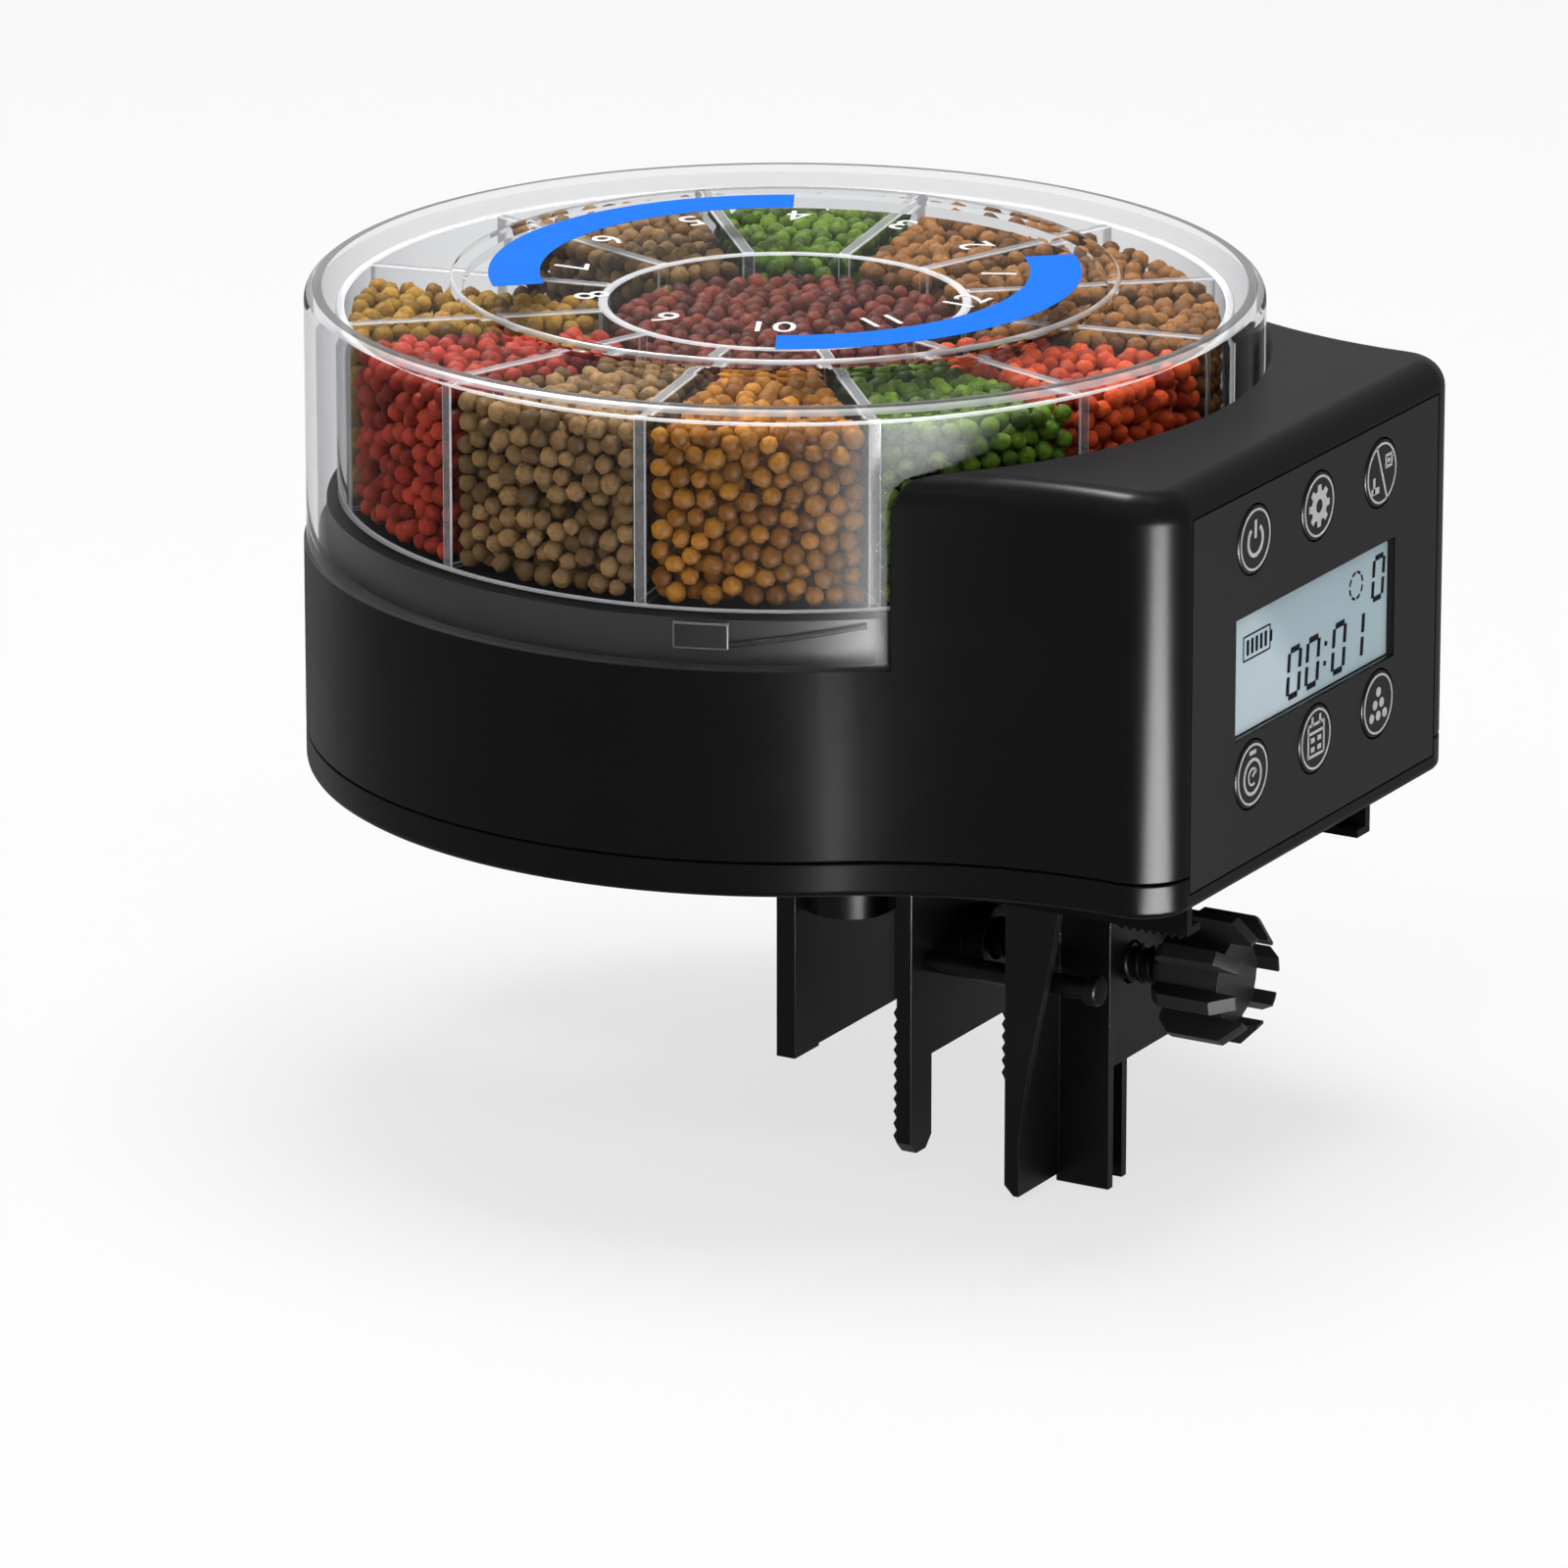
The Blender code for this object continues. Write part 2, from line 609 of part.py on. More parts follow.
def box_end_cutter(side):
    """Clears the thin end of the box wall down to the ledge and rounds its upper corner."""
    profile = [(-CUT_PAST, LEDGE_HEIGHT), (0.0, LEDGE_HEIGHT)]
    corner = (BOX_END_RADIUS, BOX_HEIGHT - BOX_END_RADIUS)
    profile += arc(corner, BOX_END_RADIUS, math.pi, math.pi / 2, 6)
    above = BOX_HEIGHT + CUT_PAST
    profile += [(BOX_END_RADIUS, above), (-CUT_PAST, above)]
    if side > 0:
        profile = [(-along, height) for along, height in profile]
    inner = BAY_RADIUS - 2 * LID_CLEARANCE
    mesh = outline_mesh([profile], inner, inner + CUT_PAST, axis="X")
    return turn_mesh(mesh, side * BOX_END_ANGLE)


def box_cavity():
    """The room inside the control box, outside the wall that curves round the lid."""
    cavity = bpy.data.objects.new(
        "cavity", outline_mesh([housing_outline(WALL)], LEDGE_UNDERSIDE - WALL, BOX_HEIGHT - ROOF)
    )
    drum = round_mesh(BAY_RADIUS + WALL, LEDGE_UNDERSIDE - 2 * WALL, BOX_HEIGHT + WALL, steps=LARGE_STEPS)
    helper = bpy.data.objects.new("cavity_drum", drum)
    bpy.context.scene.collection.objects.link(helper)
    trim = cavity.modifiers.new("drum", "BOOLEAN")
    trim.operation = "DIFFERENCE"
    trim.solver = "EXACT"
    trim.object = helper
    mesh = evaluated_mesh(cavity)
    bpy.data.objects.remove(helper, do_unlink=True)
    return mesh


def bayonet_lug():
    start = LUG_ANGLE - LUG_SPREAD / 2
    end = LUG_ANGLE + LUG_SPREAD / 2
    outer = arc((0.0, 0.0), PLINTH_RADIUS + LUG_REACH, start, end, 3)
    inner = arc((0.0, 0.0), PLINTH_RADIUS - BITE, end, start, 3)
    top = DECK_HEIGHT - GAP
    return outline_mesh([outer + inner], top - LUG_HEIGHT, top)


def bayonet_ramp():
    """The rib that draws the lid down as it is turned, rising away from the lug."""
    curve = bpy.data.curves.new("ramp", "CURVE")
    curve.dimensions = "3D"
    curve.bevel_depth = RAMP_RADIUS
    curve.bevel_resolution = 1
    curve.use_fill_caps = True
    spline = curve.splines.new("POLY")
    steps = 6
    spline.points.add(steps)
    start = LUG_ANGLE + LUG_SPREAD / 2 - math.radians(0.5)
    low = DECK_HEIGHT - LUG_HEIGHT + RAMP_RADIUS
    high = DECK_HEIGHT - 2 * RAMP_RADIUS
    for step in range(steps + 1):
        share = step / steps
        x, y = polar(PLINTH_RADIUS + RAMP_RADIUS * 0.4, start + RAMP_SPREAD * share)
        spline.points[step].co = (x, y, low + (high - low) * share, 1.0)
    return evaluated_mesh(bpy.data.objects.new("ramp", curve))


def make_bottom_cover():
    tray = outline_mesh([housing_outline()], 0.0, COVER_HEIGHT)
    cover = place("bottom_cover", rounded_rim(tray, 0.0, COVER_EDGE_RADIUS, 2))
    above = COVER_HEIGHT + WALL
    cut(cover, outline_mesh([housing_outline(WALL)], WALL, above))
    front_low = (BOX_FRONT - 2 * WALL, -PANEL_HALF_WIDTH - GAP, COVER_FRONT_HEIGHT)
    front_high = (BOX_FRONT + WALL, PANEL_HALF_WIDTH + GAP, above)
    cut(cover, box_mesh(front_low, front_high))
    bay_end = BAY_START + BAY_LENGTH
    bay_far = BAY_SIDE + BAY_WIDTH
    bay_low = (BAY_START - BAY_WALL, BAY_SIDE - BAY_WALL, WALL - BITE)
    bay_high = (bay_end + BAY_WALL, bay_far + BAY_WALL, BAY_HEIGHT + BAY_WALL)
    join(cover, box_mesh(bay_low, bay_high))
    cut(cover, box_mesh((BAY_START, BAY_SIDE, -WALL), (bay_end, bay_far, BAY_HEIGHT)))
    spindle_top = POST_HEIGHT + SPINDLE_LENGTH
    post = [
        (0.0, spindle_top),
        (SPINDLE_RADIUS - GAP, spindle_top),
        (SPINDLE_RADIUS, spindle_top - GAP),
        (SPINDLE_RADIUS, POST_HEIGHT),
        (POST_RADIUS, POST_HEIGHT),
        (POST_RADIUS, WALL - BITE),
        (0.0, WALL - BITE),
    ]
    join(cover, turned_mesh(post, MIDDLE_STEPS))
    for centre in motor_screw_places():
        boss_top = MOTOR_TOP - EAR_THICKNESS - GAP
        join(cover, round_mesh(EAR_RADIUS - GAP, WALL - BITE, boss_top, centre, steps=SMALL_STEPS))
        pilot_low = MOTOR_TOP + GAP - SCREW_LENGTH - GAP
        cut(cover, round_mesh(SCREW_RADIUS + GAP, pilot_low, boss_top + WALL, centre, steps=SMALL_STEPS))
    index_post = polar(index_switch_reach(), INDEX_ANGLE)
    index_top = index_switch_bottom() - GAP
    join(cover, round_mesh(SCREW_POST_RADIUS, WALL - BITE, index_top, index_post, steps=SMALL_STEPS))
    outlet = stadium(
        OUTLET_CENTRE, OUTLET_HALF_LENGTH + CHUTE_WALL + GAP, OUTLET_HALF_WIDTH + CHUTE_WALL + GAP
    )
    cut(cover, outline_mesh([outlet], -WALL, 2 * WALL))
    drum_posts, box_posts = screw_posts()
    head_room = 2 * GAP + SCREW_HEAD_HEIGHT
    for centre in drum_posts + box_posts:
        boss_radius = SCREW_HEAD_RADIUS + GAP + WALL / 2
        join(cover, round_mesh(boss_radius, WALL - BITE, SCREW_BOSS_HEIGHT, centre, steps=SMALL_STEPS))
        cut(cover, round_mesh(SCREW_HEAD_RADIUS + GAP, -WALL, head_room, centre, steps=SMALL_STEPS))
        above_boss = SCREW_BOSS_HEIGHT + WALL
        cut(cover, round_mesh(SCREW_RADIUS + GAP, -WALL, above_boss, centre, steps=SMALL_STEPS))
    for side in (-1, 1):
        join(cover, rail_mesh(side))
    join(cover, rack_mesh())
    finish(cover, BLACK, 0.45)


def rail_mesh(side):
    """One of the two channels under the cover that the clamp's flange slides in."""
    outer = RAIL_HALF_SPAN
    inner = outer - RAIL_WALL
    lip = inner - RAIL_LIP
    lip_top = -RAIL_DEPTH + RAIL_LIP_THICKNESS
    section = [
        (outer, BITE),
        (outer, -RAIL_DEPTH),
        (lip, -RAIL_DEPTH),
        (lip, lip_top),
        (inner, lip_top),
        (inner, BITE),
    ]
    section = [(CLAMP_Y + side * across, height) for across, height in section]
    return outline_mesh([section], RAIL_START, BOX_FRONT - RAIL_SETBACK, axis="X")


def rack_mesh():
    """The toothed edge under the near channel that the clamp's catch clicks along."""
    count = round(RACK_LENGTH / RACK_PITCH)
    end = BOX_FRONT - RAIL_SETBACK - RAIL_WALL
    start = end - count * RACK_PITCH
    root = -RAIL_DEPTH + BITE
    teeth = []
    for tooth in range(count):
        left = start + tooth * RACK_PITCH
        teeth.append((left, -RAIL_DEPTH - BITE))
        teeth.append((left + RACK_PITCH / 2, -RAIL_DEPTH - RACK_DEPTH))
    teeth += [(end, -RAIL_DEPTH - BITE), (end, root), (start, root)]
    near = CLAMP_Y - RAIL_HALF_SPAN + RAIL_WALL
    return outline_mesh([teeth], near, near + RAIL_LIP - 2 * GAP, axis="Y")


def motor_screw_places():
    """The motor's two ear screws lie square to the line from the drum's axis to the motor."""
    across = MOTOR_ANGLE + math.pi / 2
    step_x, step_y = polar(EAR_REACH, across)
    return [(MOTOR_X - step_x, MOTOR_Y - step_y), (MOTOR_X + step_x, MOTOR_Y + step_y)]


def index_switch_reach():
    """How far the index switch's middle stands from the drum's axis."""
    return INDEX_DISC_RADIUS + SWITCH_STANDOFF + SWITCH_HALF_DEPTH


def index_switch_bottom():
    """The lever, at half the switch's height, is level with the notched disc."""
    return GEAR_BOTTOM + GEAR_FACE + LEVER_THICKNESS / 2 - SWITCH_HEIGHT / 2


def gear_outline(teeth, pitch_radius, phase):
    """Involute teeth with stub tips and some backlash, the first one centred on phase."""
    pressure = math.radians(20.0)
    base = pitch_radius * math.cos(pressure)
    tip = pitch_radius + 0.8 * GEAR_MODULE
    root = pitch_radius - 1.15 * GEAR_MODULE
    half_tooth = math.pi / (2 * teeth) - GEAR_BACKLASH / (2 * pitch_radius)
    flank = []
    for radius in (root, tip):
        slope = math.acos(min(1.0, base / max(radius, base)))
        half = half_tooth + (math.tan(pressure) - pressure) - (math.tan(slope) - slope)
        flank.append((radius, half))
    points = []
    for tooth in range(teeth):
        middle = phase + math.tau * tooth / teeth
        points += [polar(radius, middle - half) for radius, half in flank]
        points += [polar(radius, middle + half) for radius, half in reversed(flank)]
    return points


def make_drive_gear():
    tooth_phase = MOTOR_ANGLE + math.pi / GEAR_TEETH
    teeth = gear_outline(GEAR_TEETH, GEAR_RADIUS, tooth_phase)
    gear = place("drive_gear", outline_mesh([teeth], GEAR_BOTTOM, GEAR_BOTTOM + GEAR_FACE))
    disc_bottom = GEAR_BOTTOM + GEAR_FACE - BITE
    disc_top = disc_bottom + HUB_FLOOR
    join(gear, outline_mesh([index_disc_outline()], disc_bottom, disc_top))
    hub_top = WHEEL_BOTTOM - GAP
    join(gear, round_mesh(DRIVE_HUB_RADIUS, disc_top - BITE, hub_top))
    hexagon = round_mesh(DRIVE_HEX / math.sqrt(3), hub_top - BITE, hub_top + DRIVE_HEX_HEIGHT, steps=6)
    join(gear, hexagon)
    bore_top = POST_HEIGHT + SPINDLE_LENGTH + GAP
    cut(gear, round_mesh(SPINDLE_RADIUS + GAP, GEAR_BOTTOM - WALL, bore_top))
    finish(gear, (0.75, 0.75, 0.72), 0.45)


def index_disc_outline():
    """A disc with one notch for each compartment, which the index switch feels."""
    step = math.tau / COMPARTMENTS
    notch = INDEX_NOTCH / INDEX_DISC_RADIUS
    points = []
    for index in range(COMPARTMENTS):
        middle = INDEX_ANGLE + step * (index + 0.5)
        points += arc((0.0, 0.0), INDEX_DISC_RADIUS, middle - step + notch, middle - notch, 3)
        points.append(polar(INDEX_DISC_RADIUS - INDEX_NOTCH, middle))
    return points


def make_motor():
    body = round_mesh(MOTOR_RADIUS, MOTOR_BOTTOM, MOTOR_TOP, (MOTOR_X, MOTOR_Y))
    motor = place("gear_motor", body)
    plate = stadium(0.0, EAR_REACH + EAR_RADIUS, EAR_RADIUS)
    ears = outline_mesh([plate], MOTOR_TOP - EAR_THICKNESS, MOTOR_TOP - GAP)
    turn_mesh(ears, MOTOR_ANGLE + math.pi / 2)
    ears.transform(Matrix.Translation((MOTOR_X, MOTOR_Y, 0.0)))
    join(motor, ears)
    shaft_top = GEAR_BOTTOM + GEAR_FACE - GAP
    centre = (MOTOR_X, MOTOR_Y)
    boss_top = GEAR_BOTTOM - GAP
    join(motor, round_mesh(2 * MOTOR_SHAFT_RADIUS, MOTOR_TOP - BITE, boss_top, centre, steps=SMALL_STEPS))
    join(motor, round_mesh(MOTOR_SHAFT_RADIUS, boss_top - BITE, shaft_top, centre, steps=SMALL_STEPS))
    for place_of in motor_screw_places():
        low = MOTOR_TOP - 2 * EAR_THICKNESS
        cut(motor, round_mesh(SCREW_RADIUS + GAP, low, MOTOR_TOP + WALL, place_of, steps=SMALL_STEPS))
    finish(motor, (0.55, 0.55, 0.56), 0.35, 0.9)
    for number, (x, y) in enumerate(motor_screw_places(), 1):
        mesh = screw_mesh(x, y, MOTOR_TOP, SCREW_LENGTH, head_on_top=True)
        finish(place(f"motor_screw_{number}", mesh, (x, y, MOTOR_TOP)), (0.6, 0.6, 0.6), 0.3, 1.0)
    teeth = gear_outline(PINION_TEETH, PINION_RADIUS, MOTOR_ANGLE + math.pi)
    shaft_hole = circle(MOTOR_SHAFT_RADIUS + GAP, SMALL_STEPS)
    pinion = outline_mesh([teeth, shaft_hole], GEAR_BOTTOM, GEAR_BOTTOM + GEAR_FACE - 2 * BITE)
    pinion.transform(Matrix.Translation((MOTOR_X, MOTOR_Y, 0.0)))
    finish(place("motor_pinion", pinion, (MOTOR_X, MOTOR_Y, GEAR_BOTTOM)), (0.8, 0.78, 0.7), 0.4)


def make_index_switch():
    """A small switch on a post, whose lever rests by the notched disc."""
    bottom = index_switch_bottom()
    middle = index_switch_reach()
    inner = middle - SWITCH_HALF_DEPTH
    body_high = (middle + SWITCH_HALF_DEPTH, SWITCH_HALF_WIDTH, bottom + SWITCH_HEIGHT)
    body = box_mesh((inner, -SWITCH_HALF_WIDTH, bottom), body_high)
    turn_mesh(body, INDEX_ANGLE)
    switch = place("index_switch", body)
    tip = INDEX_DISC_RADIUS + 2 * GAP
    lever_low = bottom + SWITCH_HEIGHT / 2
    lever_high = (inner + BITE, LEVER_HALF_WIDTH, lever_low + LEVER_THICKNESS)
    lever = box_mesh((tip, -LEVER_HALF_WIDTH, lever_low), lever_high)
    join(switch, turn_mesh(lever, INDEX_ANGLE))
    finish(switch, (0.03, 0.03, 0.035), 0.5)


def make_chute():
    inner = stadium(OUTLET_CENTRE, OUTLET_HALF_LENGTH, OUTLET_HALF_WIDTH)
    outer = stadium(OUTLET_CENTRE, OUTLET_HALF_LENGTH + CHUTE_WALL, OUTLET_HALF_WIDTH + CHUTE_WALL)
    rim = stadium(OUTLET_CENTRE, OUTLET_HALF_LENGTH + CHUTE_FLANGE, OUTLET_HALF_WIDTH + CHUTE_FLANGE)
    chute = place("outlet_chute", outline_mesh([outer, inner], GAP, DECK_UNDERSIDE - GAP))
    flange_bottom = WALL + GAP
    middle = stadium(
        OUTLET_CENTRE, OUTLET_HALF_LENGTH + CHUTE_WALL / 2, OUTLET_HALF_WIDTH + CHUTE_WALL / 2
    )
    join(chute, outline_mesh([rim, middle], flange_bottom, flange_bottom + CHUTE_FLANGE_THICKNESS))
    finish(chute, DARK, 0.4)


def make_wheel():
    """Open above and below: the food slides round on the deck and falls where the outlet is."""
    outer_wall = WHEEL_RADIUS - WHEEL_WALL
    loops = [circle(WHEEL_RADIUS)]
    half = DIVIDER / 2
    step = math.tau / COMPARTMENTS
    for index in range(COMPARTMENTS):
        start = FIRST_DIVIDER + step * index
        end = start + step
        outer_lean = math.asin(half / outer_wall)
        inner_lean = math.asin(half / HUB_RADIUS)
        far = arc((0.0, 0.0), outer_wall, start + outer_lean, end - outer_lean, 8)
        near = arc((0.0, 0.0), HUB_RADIUS, end - inner_lean, start + inner_lean, 4)
        loops.append(far + near)
    loops.append(circle(HUB_RADIUS - HUB_WALL, 48))
    wheel = place("food_wheel", outline_mesh(loops, WHEEL_BOTTOM, WHEEL_TOP))
    socket = DRIVE_HEX / math.sqrt(3) + 2 * GAP
    sleeve = socket + SLEEVE_WALL
    floor_top = WHEEL_BOTTOM + HUB_FLOOR
    sleeve_top = WHEEL_BOTTOM + SLEEVE_HEIGHT
    rim = HUB_RADIUS - HUB_WALL / 2
    floor = [
        (0.0, sleeve_top),
        (sleeve, sleeve_top),
        (sleeve, floor_top),
        (rim, floor_top),
        (rim, WHEEL_BOTTOM + GAP),
        (0.0, WHEEL_BOTTOM + GAP),
    ]
    join(wheel, turned_mesh(floor, 48))
    cut(wheel, round_mesh(socket, WHEEL_BOTTOM - WALL, sleeve_top - HUB_FLOOR, steps=6))
    finish(wheel, (0.8, 0.82, 0.84), 0.08, alpha=0.3)


def make_lid():
    top = WHEEL_TOP + LID_HEADROOM + LID_TOP
    under = top - LID_TOP
    skirt = LEDGE_HEIGHT + GAP
    inner = LID_RADIUS - LID_WALL
    edge = (LID_RADIUS - LID_EDGE_RADIUS, top - LID_EDGE_RADIUS)
    profile = [(0.0, top + LID_DISC_RISE), (LID_DISC_RADIUS - LID_DISC_RISE / 2, top + LID_DISC_RISE)]
    profile += [(LID_DISC_RADIUS, top + LID_DISC_RISE / 2), (LID_DISC_RADIUS, top)]
    profile += arc(edge, LID_EDGE_RADIUS, math.pi / 2, 0.0, 3)
    profile += [(LID_RADIUS, skirt), (inner, skirt), (inner, under)]
    profile += [(LID_DISC_RADIUS - LID_TOP, under), (LID_DISC_RADIUS - LID_TOP, under + LID_DISC_RISE)]
    profile.append((0.0, under + LID_DISC_RISE))
    lid = place("lid", turned_mesh(profile))
    nub_start = LUG_ANGLE - 2.7 * LUG_SPREAD
    nub_end = nub_start + LUG_SPREAD
    outer_arc = arc((0.0, 0.0), inner + BITE, nub_start, nub_end, 3)
    inner_arc = arc((0.0, 0.0), inner - LUG_REACH, nub_end, nub_start, 3)
    for index in range(LUG_COUNT):
        nub = outline_mesh([outer_arc + inner_arc], skirt + GAP, skirt + GAP + LUG_REACH)
        join(lid, turn_mesh(nub, math.tau * index / LUG_COUNT))
    finish(lid, (0.85, 0.87, 0.9), 0.05, alpha=0.25)


KEYS = {
    "power": (-1, KEY_ROW_HIGH),
    "settings": (0, KEY_ROW_HIGH),
    "lock": (1, KEY_ROW_HIGH),
    "timer": (-1, KEY_ROW_LOW),
    "calendar": (0, KEY_ROW_LOW),
    "portion": (1, KEY_ROW_LOW),
}


def make_panel():
    window = rectangle(-WINDOW_HALF_WIDTH, WINDOW_LOW, WINDOW_HALF_WIDTH, WINDOW_HIGH)
    loops = [rectangle(-PANEL_HALF_WIDTH, PANEL_BOTTOM, PANEL_HALF_WIDTH, PANEL_TOP), window]
    for column, height in KEYS.values():
        hole = circle(KEY_RADIUS + GAP, MIDDLE_STEPS)
        loops.append([(across + column * KEY_PITCH, along + height) for across, along in hole])
    panel = place("front_panel", outline_mesh(loops, PANEL_BACK, BOX_FRONT, axis="X"))
    half = PANEL_HALF_WIDTH + PANEL_FLANGE
    bottom = PANEL_BOTTOM + GAP
    top = PANEL_TOP + PANEL_FLANGE
    band = PANEL_FLANGE + PANEL_FLANGE_BAND
    outside = rectangle(-half, bottom, half, top)
    inside = rectangle(-half + band, bottom + band, half - band, top - band)
    join(panel, outline_mesh([outside, inside], FLANGE_FACE - PANEL_FLANGE_THICKNESS, FLANGE_FACE, axis="X"))
    for across in (-1, 1):
        for height in (BOARD_LOW + BOARD_POST_MARGIN, BOARD_HIGH - BOARD_POST_MARGIN):
            centre = (across * (BOARD_HALF_WIDTH - BOARD_POST_MARGIN), height)
            start = BOARD_FACE + GAP
            end = PANEL_BACK + BITE
            join(panel, round_mesh(BOARD_POST_RADIUS, start, end, centre, "X", SMALL_STEPS))
    finish(panel, BLACK, 0.38)
    inset = rectangle(
        -WINDOW_HALF_WIDTH + GAP, WINDOW_LOW + GAP, WINDOW_HALF_WIDTH - GAP, WINDOW_HIGH - GAP
    )
    lens_face = BOX_FRONT - WINDOW_SINK
    lens_back = lens_face - WINDOW_THICKNESS
    lens = outline_mesh([inset], lens_back, lens_face, axis="X")
    finish(place("lcd_window", lens), (0.62, 0.7, 0.74), 0.08, alpha=0.4)
    display = outline_mesh([inset], BOARD_FACE + GAP, lens_back - GAP, axis="X")
    finish(place("lcd_module", display), (0.55, 0.63, 0.66), 0.3)
    board_low = (BOARD_FACE - BOARD_THICKNESS, -BOARD_HALF_WIDTH, BOARD_LOW)
    board_high = (BOARD_FACE, BOARD_HALF_WIDTH, BOARD_HIGH)
    finish(place("main_board", box_mesh(board_low, board_high)), (0.02, 0.16, 0.06), 0.5)


def make_keys():
    for name, (column, height) in KEYS.items():
        across = column * KEY_PITCH
        profile = [
            (0.0, KEY_HEAD),
            (KEY_RADIUS - KEY_PROUD, KEY_HEAD),
            (KEY_RADIUS, KEY_HEAD - KEY_PROUD),
            (KEY_RADIUS, KEY_TAIL + KEY_FLANGE_THICKNESS),
            (KEY_RADIUS + KEY_FLANGE, KEY_TAIL + KEY_FLANGE_THICKNESS),
            (KEY_RADIUS + KEY_FLANGE, KEY_TAIL),
            (0.0, KEY_TAIL),
        ]
        cap = turned_mesh(profile, MIDDLE_STEPS)
        cap.transform(Matrix.Translation((0.0, across, height)) @ OUTLINE_TURN["X"])
        finish(place("key_" + name, cap, (KEY_HEAD, across, height)), BLACK, 0.4)
        dome_top = BOARD_FACE + GAP + DOME_HEIGHT
        dome_profile = [
            (0.0, dome_top),
            (DOME_RADIUS * 0.6, dome_top - DOME_HEIGHT * 0.25),
            (DOME_RADIUS, BOARD_FACE + GAP + DOME_HEIGHT * 0.2),
            (DOME_RADIUS, BOARD_FACE + GAP),
            (0.0, BOARD_FACE + GAP),
        ]
        dome = turned_mesh(dome_profile, SMALL_STEPS)
        dome.transform(Matrix.Translation((0.0, across, height)) @ OUTLINE_TURN["X"])
        finish(place("key_dome_" + name, dome), (0.7, 0.68, 0.62), 0.25, 1.0)


def make_batteries():
    cell_start = BAY_START + 2 * GAP + CONTACT_THICKNESS
    cell_height = BAY_HEIGHT - GAP - CELL_RADIUS
    for number in (1, 2):
        side = BAY_SIDE + GAP + CELL_RADIUS + (number - 1) * CELL_SPACING
        shoulder = CELL_LENGTH - CELL_NUB_LENGTH
        profile = [
            (0.0, CELL_LENGTH),
            (CELL_NUB_RADIUS, CELL_LENGTH),
            (CELL_NUB_RADIUS, shoulder),
            (CELL_RADIUS - 2 * GAP, shoulder),
            (CELL_RADIUS, shoulder - 2 * GAP),
            (CELL_RADIUS, 2 * GAP),
            (CELL_RADIUS - 2 * GAP, 0.0),
            (0.0, 0.0),
        ]
        cell = turned_mesh(profile, MIDDLE_STEPS)
        if number == 2:
            cell.transform(Matrix.Translation((0.0, 0.0, CELL_LENGTH)) @ Matrix.Rotation(math.pi, 4, "X"))
        cell.transform(Matrix.Translation((cell_start, side, cell_height)) @ OUTLINE_TURN["X"])
        finish(place(f"battery_cell_{number}", cell), (0.05, 0.12, 0.25), 0.35, 0.3)
    far = BAY_SIDE + BAY_WIDTH
    low = BAY_HEIGHT - 1.6 * CELL_RADIUS
    high = BAY_HEIGHT - 0.4 * CELL_RADIUS
    bridge_x = BAY_START + GAP
    bridge = box_mesh((bridge_x, BAY_SIDE + WALL, low), (bridge_x + CONTACT_THICKNESS, far - WALL, high))
    finish(place("battery_contact_bridge", bridge), (0.75, 0.75, 0.74), 0.25, 1.0)
    end_x = BAY_START + BAY_LENGTH - GAP - CONTACT_THICKNESS
    middle = BAY_SIDE + BAY_WIDTH / 2
    tabs = {"plus": (BAY_SIDE + WALL, middle - WALL), "minus": (middle + WALL, far - WALL)}
    for name, (left, right) in tabs.items():
        tab = box_mesh((end_x, left, low), (end_x + CONTACT_THICKNESS, right, high))
        finish(place("battery_contact_" + name, tab), (0.75, 0.75, 0.74), 0.25, 1.0)
    door_low = (BAY_START + GAP, BAY_SIDE + GAP, 0.0)
    door_high = (BAY_START + BAY_LENGTH - GAP, far - GAP, WALL)
    door = place("battery_door", box_mesh(door_low, door_high))
    rib_top = cell_height - CELL_RADIUS - GAP
    for share in (0.25, 0.75):
        rib_x = BAY_START + BAY_LENGTH * share
        rib_low = (rib_x - RIB_THICKNESS, BAY_SIDE + WALL, WALL - BITE)
        join(door, box_mesh(rib_low, (rib_x + RIB_THICKNESS, far - WALL, rib_top)))
    grip_start = BAY_START + BAY_LENGTH - DOOR_GRIP_LENGTH - WALL
    for index in range(DOOR_GROOVES):
        start = grip_start + index * DOOR_GRIP_LENGTH / DOOR_GROOVES
        groove_low = (start, middle - DOOR_GRIP_LENGTH, -WALL)
        groove_high = (start + DOOR_GROOVE_WIDTH, middle + DOOR_GRIP_LENGTH, DOOR_GROOVE_DEPTH)
        cut(door, box_mesh(groove_low, groove_high))
    finish(door, BLACK, 0.45)


def make_cover_screws():
    drum_posts, box_posts = screw_posts()
    for number, (x, y) in enumerate(drum_posts + box_posts, 1):
        mesh = screw_mesh(x, y, GAP, SCREW_LENGTH, head_on_top=False)
        finish(place(f"cover_screw_{number}", mesh, (x, y, GAP)), (0.5, 0.5, 0.5), 0.3, 1.0)


def gusset_outline():
    """An upright fin whose edge sweeps in an S from its full width to nothing."""
    face = OUTER_PLATE_X + OUTER_PLATE_THICKNESS - BITE
    points = [(face, FLANGE_BOTTOM + BITE)]
    steps = 8
    for step in range(steps + 1):
        share = step / steps
        ease = share * share * (3.0 - 2.0 * share)
        width = GUSSET_WIDTH * (0.45 * (1.0 - share) + 0.55 * (1.0 - ease))
        points.append((face + width + BITE, FLANGE_BOTTOM + BITE + (GUSSET_END - FLANGE_BOTTOM) * share))
    points.append((face, GUSSET_END))
    return points


